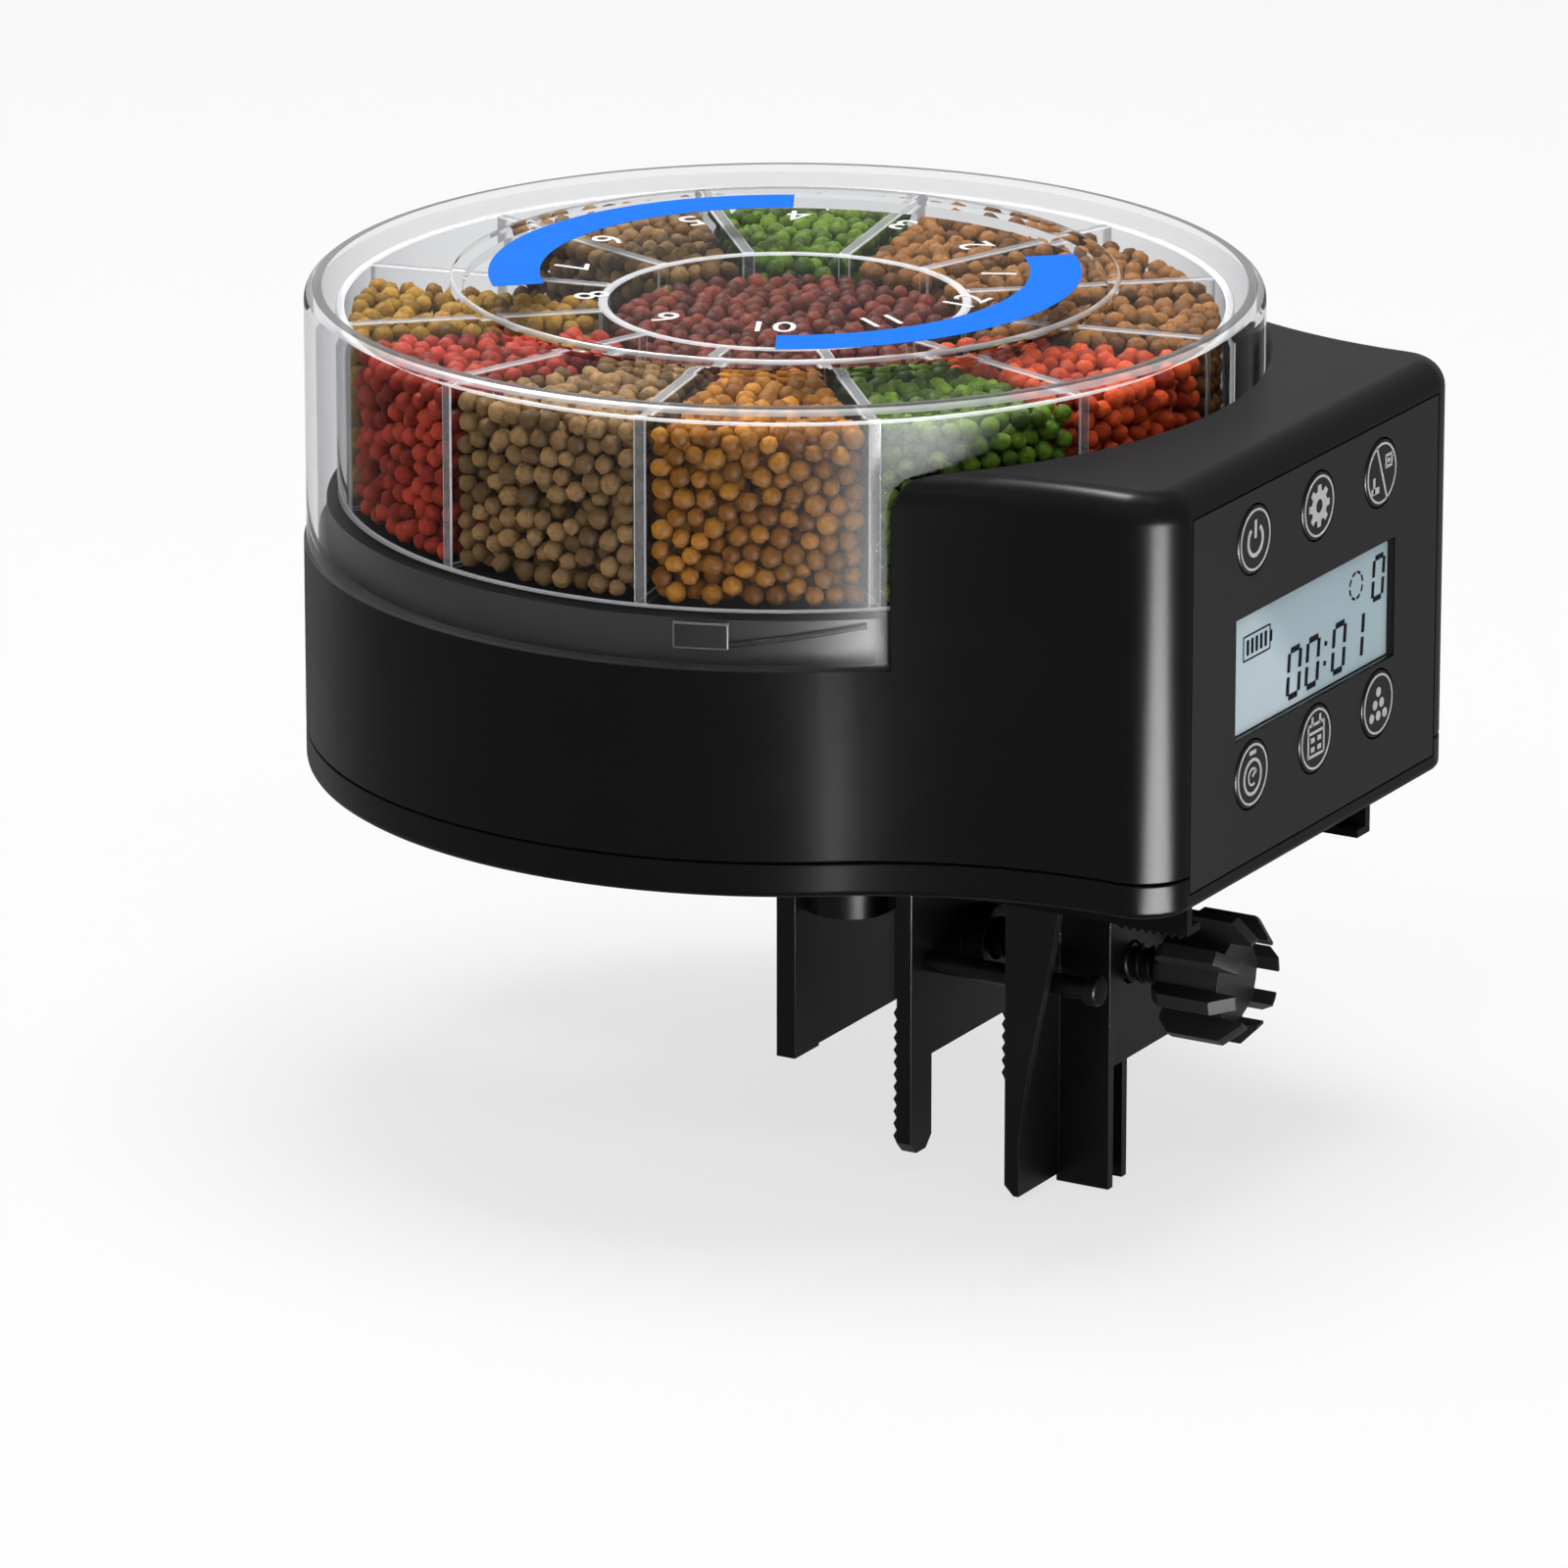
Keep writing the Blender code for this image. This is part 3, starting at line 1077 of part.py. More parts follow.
def make_clamp_frame():
    flange_half = RAIL_HALF_SPAN - RAIL_WALL - GAP
    flange_low = (FLANGE_START, CLAMP_Y - flange_half, FLANGE_BOTTOM)
    flange_high = (FLANGE_END, CLAMP_Y + flange_half, FLANGE_TOP)
    frame = place("clamp_frame", box_mesh(flange_low, flange_high))
    root = FLANGE_BOTTOM + BITE
    jaw_face = FIXED_JAW_X + FIXED_JAW_THICKNESS
    join(frame, box_mesh((FIXED_JAW_X, CLAMP_LOW, FIXED_JAW_BOTTOM), (jaw_face, CLAMP_HIGH, root)))
    recess_low = (jaw_face - FIXED_JAW_RECESS, CLAMP_LOW + FIXED_JAW_BORDER, FIXED_JAW_BOTTOM - WALL)
    recess_high = (jaw_face + WALL, CLAMP_HIGH - FIXED_JAW_BORDER, REST_BOTTOM - WALL)
    cut(frame, box_mesh(recess_low, recess_high))
    rest = stadium(0.0, REST_HALF_SPAN + REST_RADIUS, REST_RADIUS)
    rest = [(REST_X - across, CLAMP_Y + along) for along, across in rest]
    join(frame, outline_mesh([rest], REST_BOTTOM, root))
    plate_face = OUTER_PLATE_X + OUTER_PLATE_THICKNESS
    plate = [
        (OUTER_PLATE_X, root),
        (plate_face, root),
        (plate_face, OUTER_PLATE_BOTTOM),
        (OUTER_PLATE_X + OUTER_PLATE_CHAMFER, OUTER_PLATE_BOTTOM),
        (OUTER_PLATE_X, OUTER_PLATE_BOTTOM + OUTER_PLATE_CHAMFER),
    ]
    join(frame, outline_mesh([plate], CLAMP_LOW, CLAMP_HIGH, axis="Y"))
    join(frame, outline_mesh([gusset_outline()], CLAMP_LOW, CLAMP_LOW + GUSSET_THICKNESS, axis="Y"))
    join(frame, outline_mesh([gusset_outline()], CLAMP_HIGH - GUSSET_THICKNESS, CLAMP_HIGH, axis="Y"))
    step_low = (OUTER_PLATE_X - WALL, CLAMP_Y + OUTER_PLATE_STEP_OFFSET, OUTER_PLATE_BOTTOM - WALL)
    step_high = (plate_face + GUSSET_WIDTH + WALL, CLAMP_HIGH + WALL, OUTER_PLATE_STEP)
    cut(frame, box_mesh(step_low, step_high))
    nut_face = NUT_PLATE_X + NUT_PLATE_THICKNESS
    near = CLAMP_Y + RIB_NEAR_OFFSET
    far = CLAMP_Y + NUT_PLATE_FAR_OFFSET
    join(frame, box_mesh((NUT_PLATE_X, near + GAP, NUT_PLATE_BOTTOM), (nut_face, far - GAP, root)))
    rib_start = plate_face - BITE
    rib_end = nut_face + GAP
    join(frame, box_mesh((rib_start, near, RIB_BOTTOM), (rib_end, near + RIB_THICKNESS, root)))
    far_low = (rib_start, far - RIB_THICKNESS, NUT_PLATE_BOTTOM + GAP)
    join(frame, box_mesh(far_low, (rib_end, far, root)))
    inner = CLAMP_Y + RIB_INNER_OFFSET
    inner_low = (rib_start, inner, RIB_BOTTOM + GAP)
    join(frame, box_mesh(inner_low, (nut_face - GAP, inner + RIB_THICKNESS, RIB_INNER_TOP)))
    bore_start = OUTER_PLATE_X - WALL
    bore_end = nut_face + WALL
    axis_place = (CLAMP_Y, CLAMP_SCREW_Z)
    cut(frame, round_mesh(CLAMP_SCREW_RADIUS + GAP, bore_start, bore_end, axis_place, "X"))
    for offset in (PIN_NEAR_OFFSET, PIN_FAR_OFFSET):
        pin_place = (CLAMP_Y + offset, CLAMP_SCREW_Z)
        cut(frame, round_mesh(PIN_RADIUS + GAP, bore_start, plate_face + WALL, pin_place, "X", SMALL_STEPS))
    finish(frame, DARK, 0.45)


def jaw_outline():
    """A wide plate with a leg at each side, in the plane across the screw."""
    leg = JAW_LEG_WIDTH
    chamfer = JAW_LEG_CHAMFER
    top = FLANGE_BOTTOM - GAP
    bottom = MOVING_JAW_BOTTOM
    left = [
        (CLAMP_LOW, top),
        (CLAMP_LOW, bottom + chamfer),
        (CLAMP_LOW + chamfer, bottom),
        (CLAMP_LOW + leg - chamfer, bottom),
        (CLAMP_LOW + leg, bottom + chamfer),
        (CLAMP_LOW + leg, MOVING_JAW_PLATE_BOTTOM),
    ]
    return left + [(2 * CLAMP_Y - across, height) for across, height in reversed(left)]


def jaw_teeth(low):
    """The toothed strip on one leg's glass side."""
    back = MOVING_JAW_X + BITE
    start = MOVING_JAW_BOTTOM + JAW_LEG_CHAMFER
    points = [(back, start)]
    for tooth in range(JAW_TEETH):
        height = start + tooth * JAW_TOOTH_PITCH
        points.append((MOVING_JAW_X - GAP / 2, height))
        points.append((MOVING_JAW_X - JAW_TOOTH_DEPTH, height + JAW_TOOTH_PITCH / 2))
    end = start + JAW_TEETH * JAW_TOOTH_PITCH
    points += [(MOVING_JAW_X - GAP / 2, end), (back, end)]
    return outline_mesh([points], low + GAP, low + JAW_LEG_WIDTH - GAP, axis="Y")


def make_moving_jaw():
    face = MOVING_JAW_X + MOVING_JAW_THICKNESS
    jaw = place("moving_jaw", outline_mesh([jaw_outline()], MOVING_JAW_X, face, axis="X"))
    join(jaw, jaw_teeth(CLAMP_LOW), jaw_teeth(CLAMP_HIGH - JAW_LEG_WIDTH))
    axis_place = (CLAMP_Y, CLAMP_SCREW_Z)
    socket_end = face + JAW_SOCKET_LENGTH
    join(jaw, round_mesh(JAW_SOCKET_RADIUS, face - BITE, socket_end, axis_place, "X"))
    bore_start = face + GAP
    cut(jaw, round_mesh(CLAMP_SCREW_RADIUS + GAP, bore_start, socket_end + WALL, axis_place, "X"))
    finish(jaw, DARK, 0.45)
    make_guide_pin("near", PIN_NEAR_OFFSET, PIN_NEAR_HEAD_RADIUS)
    make_guide_pin("far", PIN_FAR_OFFSET, PIN_FAR_HEAD_RADIUS)


def make_guide_pin(name, offset, head):
    """A pin that keeps the jaw square. The far one's head passes between nut plate and gusset."""
    pin_start = MOVING_JAW_X + MOVING_JAW_THICKNESS + GAP
    neck = pin_start + PIN_LENGTH
    profile = [
        (0.0, neck + PIN_HEAD_LENGTH),
        (head - GAP, neck + PIN_HEAD_LENGTH),
        (head, neck + PIN_HEAD_LENGTH - GAP),
        (head, neck),
        (PIN_RADIUS, neck),
        (PIN_RADIUS, pin_start),
        (0.0, pin_start),
    ]
    pin = turned_mesh(profile, SMALL_STEPS)
    across = CLAMP_Y + offset
    pin.transform(Matrix.Translation((0.0, across, CLAMP_SCREW_Z)) @ OUTLINE_TURN["X"])
    finish(place("guide_pin_" + name, pin), DARK, 0.4)


def knob_outline():
    """Square fins standing on a round core."""
    points = []
    step = math.tau / KNOB_FINS
    tip = math.asin(KNOB_FIN_WIDTH / 2 / KNOB_RADIUS)
    root = math.asin(KNOB_FIN_WIDTH / 2 / KNOB_ROOT_RADIUS)
    for fin in range(KNOB_FINS):
        middle = KNOB_FIRST_FIN + step * fin
        points += arc((0.0, 0.0), KNOB_RADIUS, middle - tip, middle + tip, 2)
        points += arc((0.0, 0.0), KNOB_ROOT_RADIUS, middle + root, middle + step - root, 2)
    return points


def make_clamp_screw():
    start = MOVING_JAW_X + MOVING_JAW_THICKNESS + 2 * GAP
    axis_place = (CLAMP_Y, CLAMP_SCREW_Z)
    origin = (KNOB_X, CLAMP_Y, CLAMP_SCREW_Z)
    shank_end = KNOB_X + KNOB_BORE_DEPTH - GAP
    shank = round_mesh(CLAMP_SCREW_RADIUS, start, shank_end, axis_place, "X")
    finish(place("clamp_screw", shank, origin), DARK, 0.4)
    end = KNOB_X + KNOB_LENGTH
    core = outline_mesh([knob_outline()], KNOB_BODY_X, end, axis="X")
    core.transform(Matrix.Translation((0.0, CLAMP_Y, CLAMP_SCREW_Z)))
    knob = place("clamp_knob", core, origin)
    join(knob, round_mesh(KNOB_HUB_RADIUS, KNOB_X, KNOB_BODY_X + BITE, axis_place, "X"))
    cut(knob, round_mesh(KNOB_ROOT_RADIUS + GAP, end - KNOB_RECESS, end + WALL, axis_place, "X"))
    outside = KNOB_RADIUS + WALL
    tip_chamfer = [
        (outside, end + WALL),
        (outside, end - KNOB_CHAMFER - WALL),
        (KNOB_RADIUS - KNOB_CHAMFER - WALL, end + WALL),
    ]
    back_chamfer = [
        (outside, KNOB_BODY_X + KNOB_BACK_CHAMFER + WALL),
        (outside, KNOB_BODY_X - WALL),
        (KNOB_RADIUS - KNOB_BACK_CHAMFER - WALL, KNOB_BODY_X - WALL),
    ]
    for chamfer in (tip_chamfer, back_chamfer):
        ring = turned_mesh(chamfer, MIDDLE_STEPS, closed=True)
        ring.transform(Matrix.Translation((0.0, CLAMP_Y, CLAMP_SCREW_Z)) @ OUTLINE_TURN["X"])
        cut(knob, ring)
    bore_end = KNOB_X + KNOB_BORE_DEPTH
    cut(knob, round_mesh(CLAMP_SCREW_RADIUS + GAP, KNOB_X - WALL, bore_end, axis_place, "X"))
    finish(knob, DARK, 0.42)


make_upper_housing()
make_bottom_cover()
make_drive_gear()
make_motor()
make_index_switch()
make_chute()
make_wheel()
make_lid()
make_panel()
make_keys()
make_batteries()
make_cover_screws()
make_clamp_frame()
make_moving_jaw()
make_clamp_screw()
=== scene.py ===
"""Automatic fish feeder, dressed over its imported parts.

Every new piece is modelled in millimetres about the drum's upright axis, with the underside of the housing
at height zero, and is then put in its place in the frame, in metres.
"""

import math

import bpy
import numpy as np
from mathutils import Matrix, Vector


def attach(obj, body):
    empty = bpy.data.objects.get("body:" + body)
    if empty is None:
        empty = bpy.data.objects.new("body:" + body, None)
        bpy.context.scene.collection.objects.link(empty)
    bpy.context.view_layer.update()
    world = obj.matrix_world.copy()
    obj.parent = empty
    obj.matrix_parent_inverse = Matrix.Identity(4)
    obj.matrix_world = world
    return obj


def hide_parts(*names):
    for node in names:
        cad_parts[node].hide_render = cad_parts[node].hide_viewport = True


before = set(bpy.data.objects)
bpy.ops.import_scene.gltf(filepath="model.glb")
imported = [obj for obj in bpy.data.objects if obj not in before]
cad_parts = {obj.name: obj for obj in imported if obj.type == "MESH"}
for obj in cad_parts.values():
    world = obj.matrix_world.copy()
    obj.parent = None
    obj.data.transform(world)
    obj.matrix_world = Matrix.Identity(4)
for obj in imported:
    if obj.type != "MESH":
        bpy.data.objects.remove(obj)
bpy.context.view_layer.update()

# Housing
# Drum and control box are one black ABS moulding with a fine satin grain. It is moulded with hollow necks
# between drum and box, a curved bay for the lid and three bayonet lugs, and screws to the cover below it.
drum_axis = Vector((-0.024, 0.010, 0.0155))
millimetres = 1000.0
into_frame = Matrix.Translation(drum_axis) @ Matrix.Scale(1.0 / millimetres, 4)
drum_radius = 75.0
box_front = 93.3
box_half_width = 48.5
corner_radius = 8.0
neck_radius = 70.0
neck_y = box_half_width + neck_radius
neck_x = round(math.sqrt((drum_radius + neck_radius) ** 2 - neck_y**2), 2)
housing_low = 5.7
box_top = 66.0
ledge = 35.7
deck = 42.7
deck_thickness = 2.2
roof = 2.5
wall = 2.0
spigot_radius = 71.4
bay_radius = 75.2
shaft_hole_radius = 9.1
outlet_half_width = 8.0
top_rounding = 4.5
seam_rounding = 0.3
opening_half_width = 40.5
opening_top = 61.5
drum_steps = 192


def arc(x, y, radius, start, end, steps):
    """Points on an arc given in degrees, both ends included."""
    angles = [math.radians(start + (end - start) * step / steps) for step in range(steps + 1)]
    return [(x + radius * math.cos(angle), y + radius * math.sin(angle)) for angle in angles]


def only(obj):
    """Makes obj the one selected and active object."""
    bpy.ops.object.select_all(action="DESELECT")
    obj.select_set(True)
    bpy.context.view_layer.objects.active = obj


def block(name, outline, low, high):
    """A flat outline drawn as a filled circle, pushed into shape and extruded upwards."""
    bpy.ops.object.select_all(action="DESELECT")
    bpy.ops.mesh.primitive_circle_add(vertices=len(outline), radius=1.0, fill_type="NGON")
    obj = bpy.context.object
    obj.name = name
    for vertex, (x, y) in zip(obj.data.vertices, outline):
        vertex.co = (x, y, low)
    bpy.ops.object.mode_set(mode="EDIT")
    bpy.ops.mesh.select_all(action="SELECT")
    bpy.ops.mesh.extrude_region_move(TRANSFORM_OT_translate={"value": (0.0, 0.0, high - low)})
    bpy.ops.mesh.select_all(action="SELECT")
    bpy.ops.mesh.normals_make_consistent(inside=False)
    bpy.ops.object.mode_set(mode="OBJECT")
    return obj


def spun(name, profile, steps, closed=False):
    """A profile of radius and height, drawn as a ring of edges and spun about the upright axis."""
    bpy.ops.object.select_all(action="DESELECT")
    bpy.ops.mesh.primitive_circle_add(vertices=len(profile), radius=1.0, fill_type="NOTHING")
    obj = bpy.context.object
    obj.name = name
    for vertex, (radius, height) in zip(obj.data.vertices, profile):
        vertex.co = (radius, 0.0, height)
    if not closed:
        last = len(profile) - 1
        pick_edges(obj, lambda edge: set(edge.vertices) == {0, last})
        bpy.ops.mesh.delete(type="EDGE")
    bpy.ops.object.mode_set(mode="EDIT")
    bpy.ops.mesh.select_all(action="SELECT")
    bpy.ops.mesh.spin(steps=steps, angle=math.tau, center=(0.0, 0.0, 0.0), axis=(0.0, 0.0, 1.0))
    bpy.ops.mesh.select_all(action="SELECT")
    bpy.ops.mesh.remove_doubles(threshold=0.0005)
    bpy.ops.mesh.normals_make_consistent(inside=False)
    bpy.ops.object.mode_set(mode="OBJECT")
    return obj


def slab(name, low, high):
    """A cube pulled out to two opposite corners."""
    bpy.ops.object.select_all(action="DESELECT")
    bpy.ops.mesh.primitive_cube_add(size=1.0)
    obj = bpy.context.object
    obj.name = name
    middle = (Vector(low) + Vector(high)) / 2
    sides = Vector(high) - Vector(low)
    obj.data.transform(Matrix.Translation(middle) @ Matrix.Diagonal((*sides, 1.0)))
    return obj


def rod(name, radius, low, high, x=0.0, y=0.0, steps=48):
    """An upright cylinder."""
    bpy.ops.object.select_all(action="DESELECT")
    bpy.ops.mesh.primitive_cylinder_add(vertices=steps, radius=radius, depth=high - low)
    obj = bpy.context.object
    obj.name = name
    obj.data.transform(Matrix.Translation((x, y, (low + high) / 2)))
    return obj


def pick_edges(obj, wanted):
    """Leaves the wanted edges selected in edit mode."""
    only(obj)
    bpy.ops.object.mode_set(mode="EDIT")
    bpy.ops.mesh.select_mode(type="EDGE")
    bpy.ops.mesh.select_all(action="DESELECT")
    bpy.ops.object.mode_set(mode="OBJECT")
    for edge in obj.data.edges:
        edge.select = wanted(edge)
    bpy.ops.object.mode_set(mode="EDIT")


def round_edges(obj, height, radius, steps):
    """Rounds the edges that lie at one height."""
    points = obj.data.vertices
    pick_edges(obj, lambda edge: all(abs(points[end].co.z - height) < 0.01 for end in edge.vertices))
    bpy.ops.mesh.bevel(offset=radius, segments=steps, profile=0.5, affect="EDGES", clamp_overlap=False)
    bpy.ops.object.mode_set(mode="OBJECT")


def carve(obj, tool, operation="DIFFERENCE"):
    """Cuts a tool from obj, or adds its shape to it, and clears the tool away."""
    modifier = obj.modifiers.new("carve", "BOOLEAN")
    modifier.operation = operation
    modifier.solver = "MANIFOLD"
    modifier.object = tool
    only(obj)
    bpy.ops.object.modifier_apply(modifier=modifier.name)
    bpy.data.objects.remove(tool, do_unlink=True)


def soften(obj, width, edge_material=-1):
    """Takes the edge off every sharp edge, and can give the new faces a material of their own."""
    only(obj)
    modifier = obj.modifiers.new("soften", "BEVEL")
    modifier.width = width
    modifier.segments = 2
    modifier.limit_method = "ANGLE"
    modifier.angle_limit = math.radians(30.0)
    modifier.material = edge_material
    bpy.ops.object.modifier_apply(modifier=modifier.name)


def join(first, *others):
    """Makes the other pieces part of the first."""
    only(first)
    for piece in others:
        piece.select_set(True)
    bpy.ops.object.join()


def lay_along(obj, axis):
    """Turns a piece modelled upright so that its height runs along X or Y."""
    if axis == "X":
        obj.data.transform(Matrix(((0, 0, 1, 0), (1, 0, 0, 0), (0, 1, 0, 0), (0, 0, 0, 1))))
    if axis == "Y":
        obj.data.transform(Matrix(((1, 0, 0, 0), (0, 0, -1, 0), (0, 1, 0, 0), (0, 0, 0, 1))))
    return obj


def turn(obj, degrees):
    """Turns a piece about the drum's axis."""
    obj.data.transform(Matrix.Rotation(math.radians(degrees), 4, "Z"))
    return obj


def settle(obj, body, material, slot, *nodes):
    """Shades a finished piece, puts it in its place in the frame and lets it ride on its body."""
    only(obj)
    bpy.ops.object.shade_smooth_by_angle(angle=math.radians(30.0))
    modifier = obj.modifiers.new("normals", "WEIGHTED_NORMAL")
    modifier.keep_sharp = True
    bpy.ops.object.modifier_apply(modifier=modifier.name)
    obj.data.transform(into_frame)
    if not any(obj.data.materials):
        obj.data.materials.clear()
        obj.data.materials.append(material)
    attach(obj, body)
    if nodes:
        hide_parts(*nodes)


def node(tree, kind, links=(), **settings):
    """Adds a node, sets its options and links the given inputs to other nodes' outputs, or fills them in."""
    made = tree.nodes.new(kind)
    for key, value in settings.items():
        setattr(made, key, value)
    for key, value in dict(links).items():
        if isinstance(value, bpy.types.NodeSocket):
            tree.links.new(value, made.inputs[key])
        else:
            made.inputs[key].default_value = value
    return made


def between(tree, share, first, second):
    """A colour that runs from the first to the second as the share goes from 0 to 1."""
    ends = {0: share, 6: (*first, 1.0), 7: (*second, 1.0)}
    return node(tree, "ShaderNodeMix", ends, data_type="RGBA").outputs[2]


def new_material(name):
    """A new material, its node tree, its shader and its Object coordinates."""
    made = bpy.data.materials.new(name)
    made.use_nodes = True
    tree = made.node_tree
    return made, tree, tree.nodes["Principled BSDF"], node(tree, "ShaderNodeTexCoord").outputs["Object"]


# The grain of a spark-eroded mould: fine pits in the surface, and a faint mottle where the skin cooled.
grain = bpy.data.node_groups.new("moulded_grain", "ShaderNodeTree")
for label, direction, kind in (
    ("Vector", "INPUT", "NodeSocketVector"),
    ("Scale", "INPUT", "NodeSocketFloat"),
    ("Depth", "INPUT", "NodeSocketFloat"),
    ("Mottle", "OUTPUT", "NodeSocketFloat"),
    ("Normal", "OUTPUT", "NodeSocketVector"),
):
    grain.interface.new_socket(label, in_out=direction, socket_type=kind)
given = grain.nodes.new("NodeGroupInput").outputs
pits = node(grain, "ShaderNodeTexNoise", {"Vector": given[0], "Scale": given[1], "Detail": 3.0})
cloud = node(grain, "ShaderNodeTexNoise", {"Vector": given[0], "Scale": 55.0, "Detail": 4.0})
relief = node(grain, "ShaderNodeBump", {"Strength": 0.3, "Distance": given[2], "Height": pits.outputs[0]})
node(grain, "NodeGroupOutput", {"Mottle": cloud.outputs[0], "Normal": relief.outputs[0]})


def plastic(name, dark, light, roughness, specular, scale=4200.0, depth=0.00002, metal=0.0):
    """A moulded surface whose colour and gloss drift over the grain, duller where it is seen edge on."""
    gloss_drift = 0.05
    dulling = 0.35
    made, tree, shader, place = new_material(name)
    skin = node(tree, "ShaderNodeGroup", node_tree=grain)
    tree.links.new(place, skin.inputs["Vector"])
    skin.inputs["Scale"].default_value = scale
    skin.inputs["Depth"].default_value = depth
    mottle = skin.outputs["Mottle"]
    ends = {"Value": mottle, "To Min": roughness - gloss_drift, "To Max": roughness + gloss_drift}
    gloss = node(tree, "ShaderNodeMapRange", ends).outputs[0]
    facing = node(tree, "ShaderNodeLayerWeight", {"Blend": 0.5}).outputs["Facing"]
    steep = node(tree, "ShaderNodeMath", {0: facing, 1: 4.0}, operation="POWER").outputs[0]
    dull = node(tree, "ShaderNodeMath", {0: steep, 1: dulling, 2: gloss}, operation="MULTIPLY_ADD").outputs[0]
    tree.links.new(between(tree, mottle, dark, light), shader.inputs["Base Color"])
    tree.links.new(dull, shader.inputs["Roughness"])
    tree.links.new(skin.outputs["Normal"], shader.inputs["Normal"])
    shader.inputs["Specular IOR Level"].default_value = specular
    shader.inputs["Metallic"].default_value = metal
    return made


black_abs = plastic("black_abs", (0.010, 0.010, 0.0105), (0.013, 0.013, 0.0135), 0.28, 0.02)


def plan(inset):
    """The outline of drum, hollow necks and box, drawn in by inset."""
    meet = math.degrees(math.atan2(neck_y, neck_x))
    corner_x = box_front - corner_radius
    corner_y = box_half_width - corner_radius
    points = arc(corner_x, corner_y, corner_radius - inset, 0.0, 90.0, 12)
    points += arc(neck_x, neck_y, neck_radius + inset, -90.0, meet - 180.0, 24)
    points += arc(0.0, 0.0, drum_radius - inset, meet, 360.0 - meet, 130)[1:-1]
    points += arc(neck_x, -neck_y, neck_radius + inset, 180.0 - meet, 90.0, 24)
    points += arc(corner_x, -corner_y, corner_radius - inset, -90.0, 0.0, 12)
    return points


def outlet_outline(half_width):
    """The long round-ended hole that food falls through, or a wall round it."""
    near = -45.45
    far = -56.95
    return arc(near, 0.0, half_width, -90.0, 90.0, 16) + arc(far, 0.0, half_width, 90.0, 270.0, 16)


# Cutting tools reach past the walls that they cut, to these heights and depths.
below, above = -10.0, 90.0
under_deck, over_deck = 38.0, 45.0
behind_panel, before_panel = 88.0, 96.0
housing = block("housing", plan(0.0), housing_low, box_top)
round_edges(housing, box_top, top_rounding, 8)
round_edges(housing, housing_low, seam_rounding, 2)
carve(housing, rod("bay", bay_radius, deck, above, steps=drum_steps))
groove_top = deck + 0.3
groove = [(spigot_radius, ledge), (bay_radius, ledge), (bay_radius, groove_top), (spigot_radius, groove_top)]
carve(housing, spun("groove", groove, drum_steps, closed=True))
flare_radius = 1.0
flare_x = bay_radius + flare_radius
flare_z = box_top - flare_radius
flare_inner = bay_radius - 1.2
flare_low = flare_z - 0.1
flare_high = box_top + 1.0
flare = [(flare_inner, flare_low), (bay_radius - 0.01, flare_low)]
flare += arc(flare_x, flare_z, flare_radius, 180.0, 90.0, 5)
flare += [(flare_x, flare_high), (flare_inner, flare_high)]
carve(housing, spun("flare", flare, drum_steps, closed=True))
end_angle = 48.0
end_radius = 6.5
end_depth = 13.0
end_start = 74.0
for side in (-1, 1):
    end = [(-end_depth, ledge), (0.0, ledge)]
    end += arc(end_radius, box_top - end_radius, end_radius, 180.0, 90.0, 10)
    end += [(end_radius, above), (-end_depth, above)]
    end = [(-side * along, height) for along, height in end]
    tool = lay_along(block("end", end, end_start, end_start + end_depth), "X")
    carve(housing, turn(tool, side * end_angle))
room_top = ledge - deck_thickness
carve(housing, block("room", plan(wall), below, room_top))
carve(housing, rod("drum_room", spigot_radius - wall, below, deck - deck_thickness, steps=drum_steps))
cavity = block("cavity", plan(wall), room_top - wall, box_top - roof)
carve(cavity, rod("bay_wall", bay_radius + wall, below, above, steps=drum_steps))
carve(housing, cavity)
opening_low = (behind_panel, -opening_half_width, below)
opening_high = (before_panel, opening_half_width, opening_top)
carve(housing, slab("panel_hole", opening_low, opening_high))
carve(housing, rod("shaft_hole", shaft_hole_radius, under_deck, over_deck))
carve(housing, block("outlet", outlet_outline(outlet_half_width), under_deck, over_deck))

# The band behind the lid's skirt is paler and smoother than the rest, a painted sheen for the reflections
# that the clear skirt lays over it.
skirt_sheen_abs = plastic(
    "skirt_sheen_abs", (0.022, 0.022, 0.0225), (0.028, 0.028, 0.0285), 0.3, 0.1, scale=900.0, depth=0.000001
)
housing.data.materials.clear()
housing.data.materials.append(black_abs)
housing.data.materials.append(skirt_sheen_abs)
for face in housing.data.polygons:
    out = math.hypot(face.center.x, face.center.y)
    if spigot_radius - 0.4 < out < drum_radius and ledge - 0.1 < face.center.z < deck - 0.05:
        face.material_index = 1
settle(housing, "housing", black_abs, "black_abs", "upper_housing")


def along_line(name, curve, points):
    """A curve with its own thickness, run along the points and made a mesh."""
    line = curve.splines.new("POLY")
    line.points.add(len(points) - 1)
    for spot, point in zip(line.points, points):
        spot.co = (*point, 1.0)
    obj = bpy.data.objects.new(name, curve)
    bpy.context.scene.collection.objects.link(obj)
    only(obj)
    bpy.ops.object.convert(target="MESH")
    return bpy.context.object
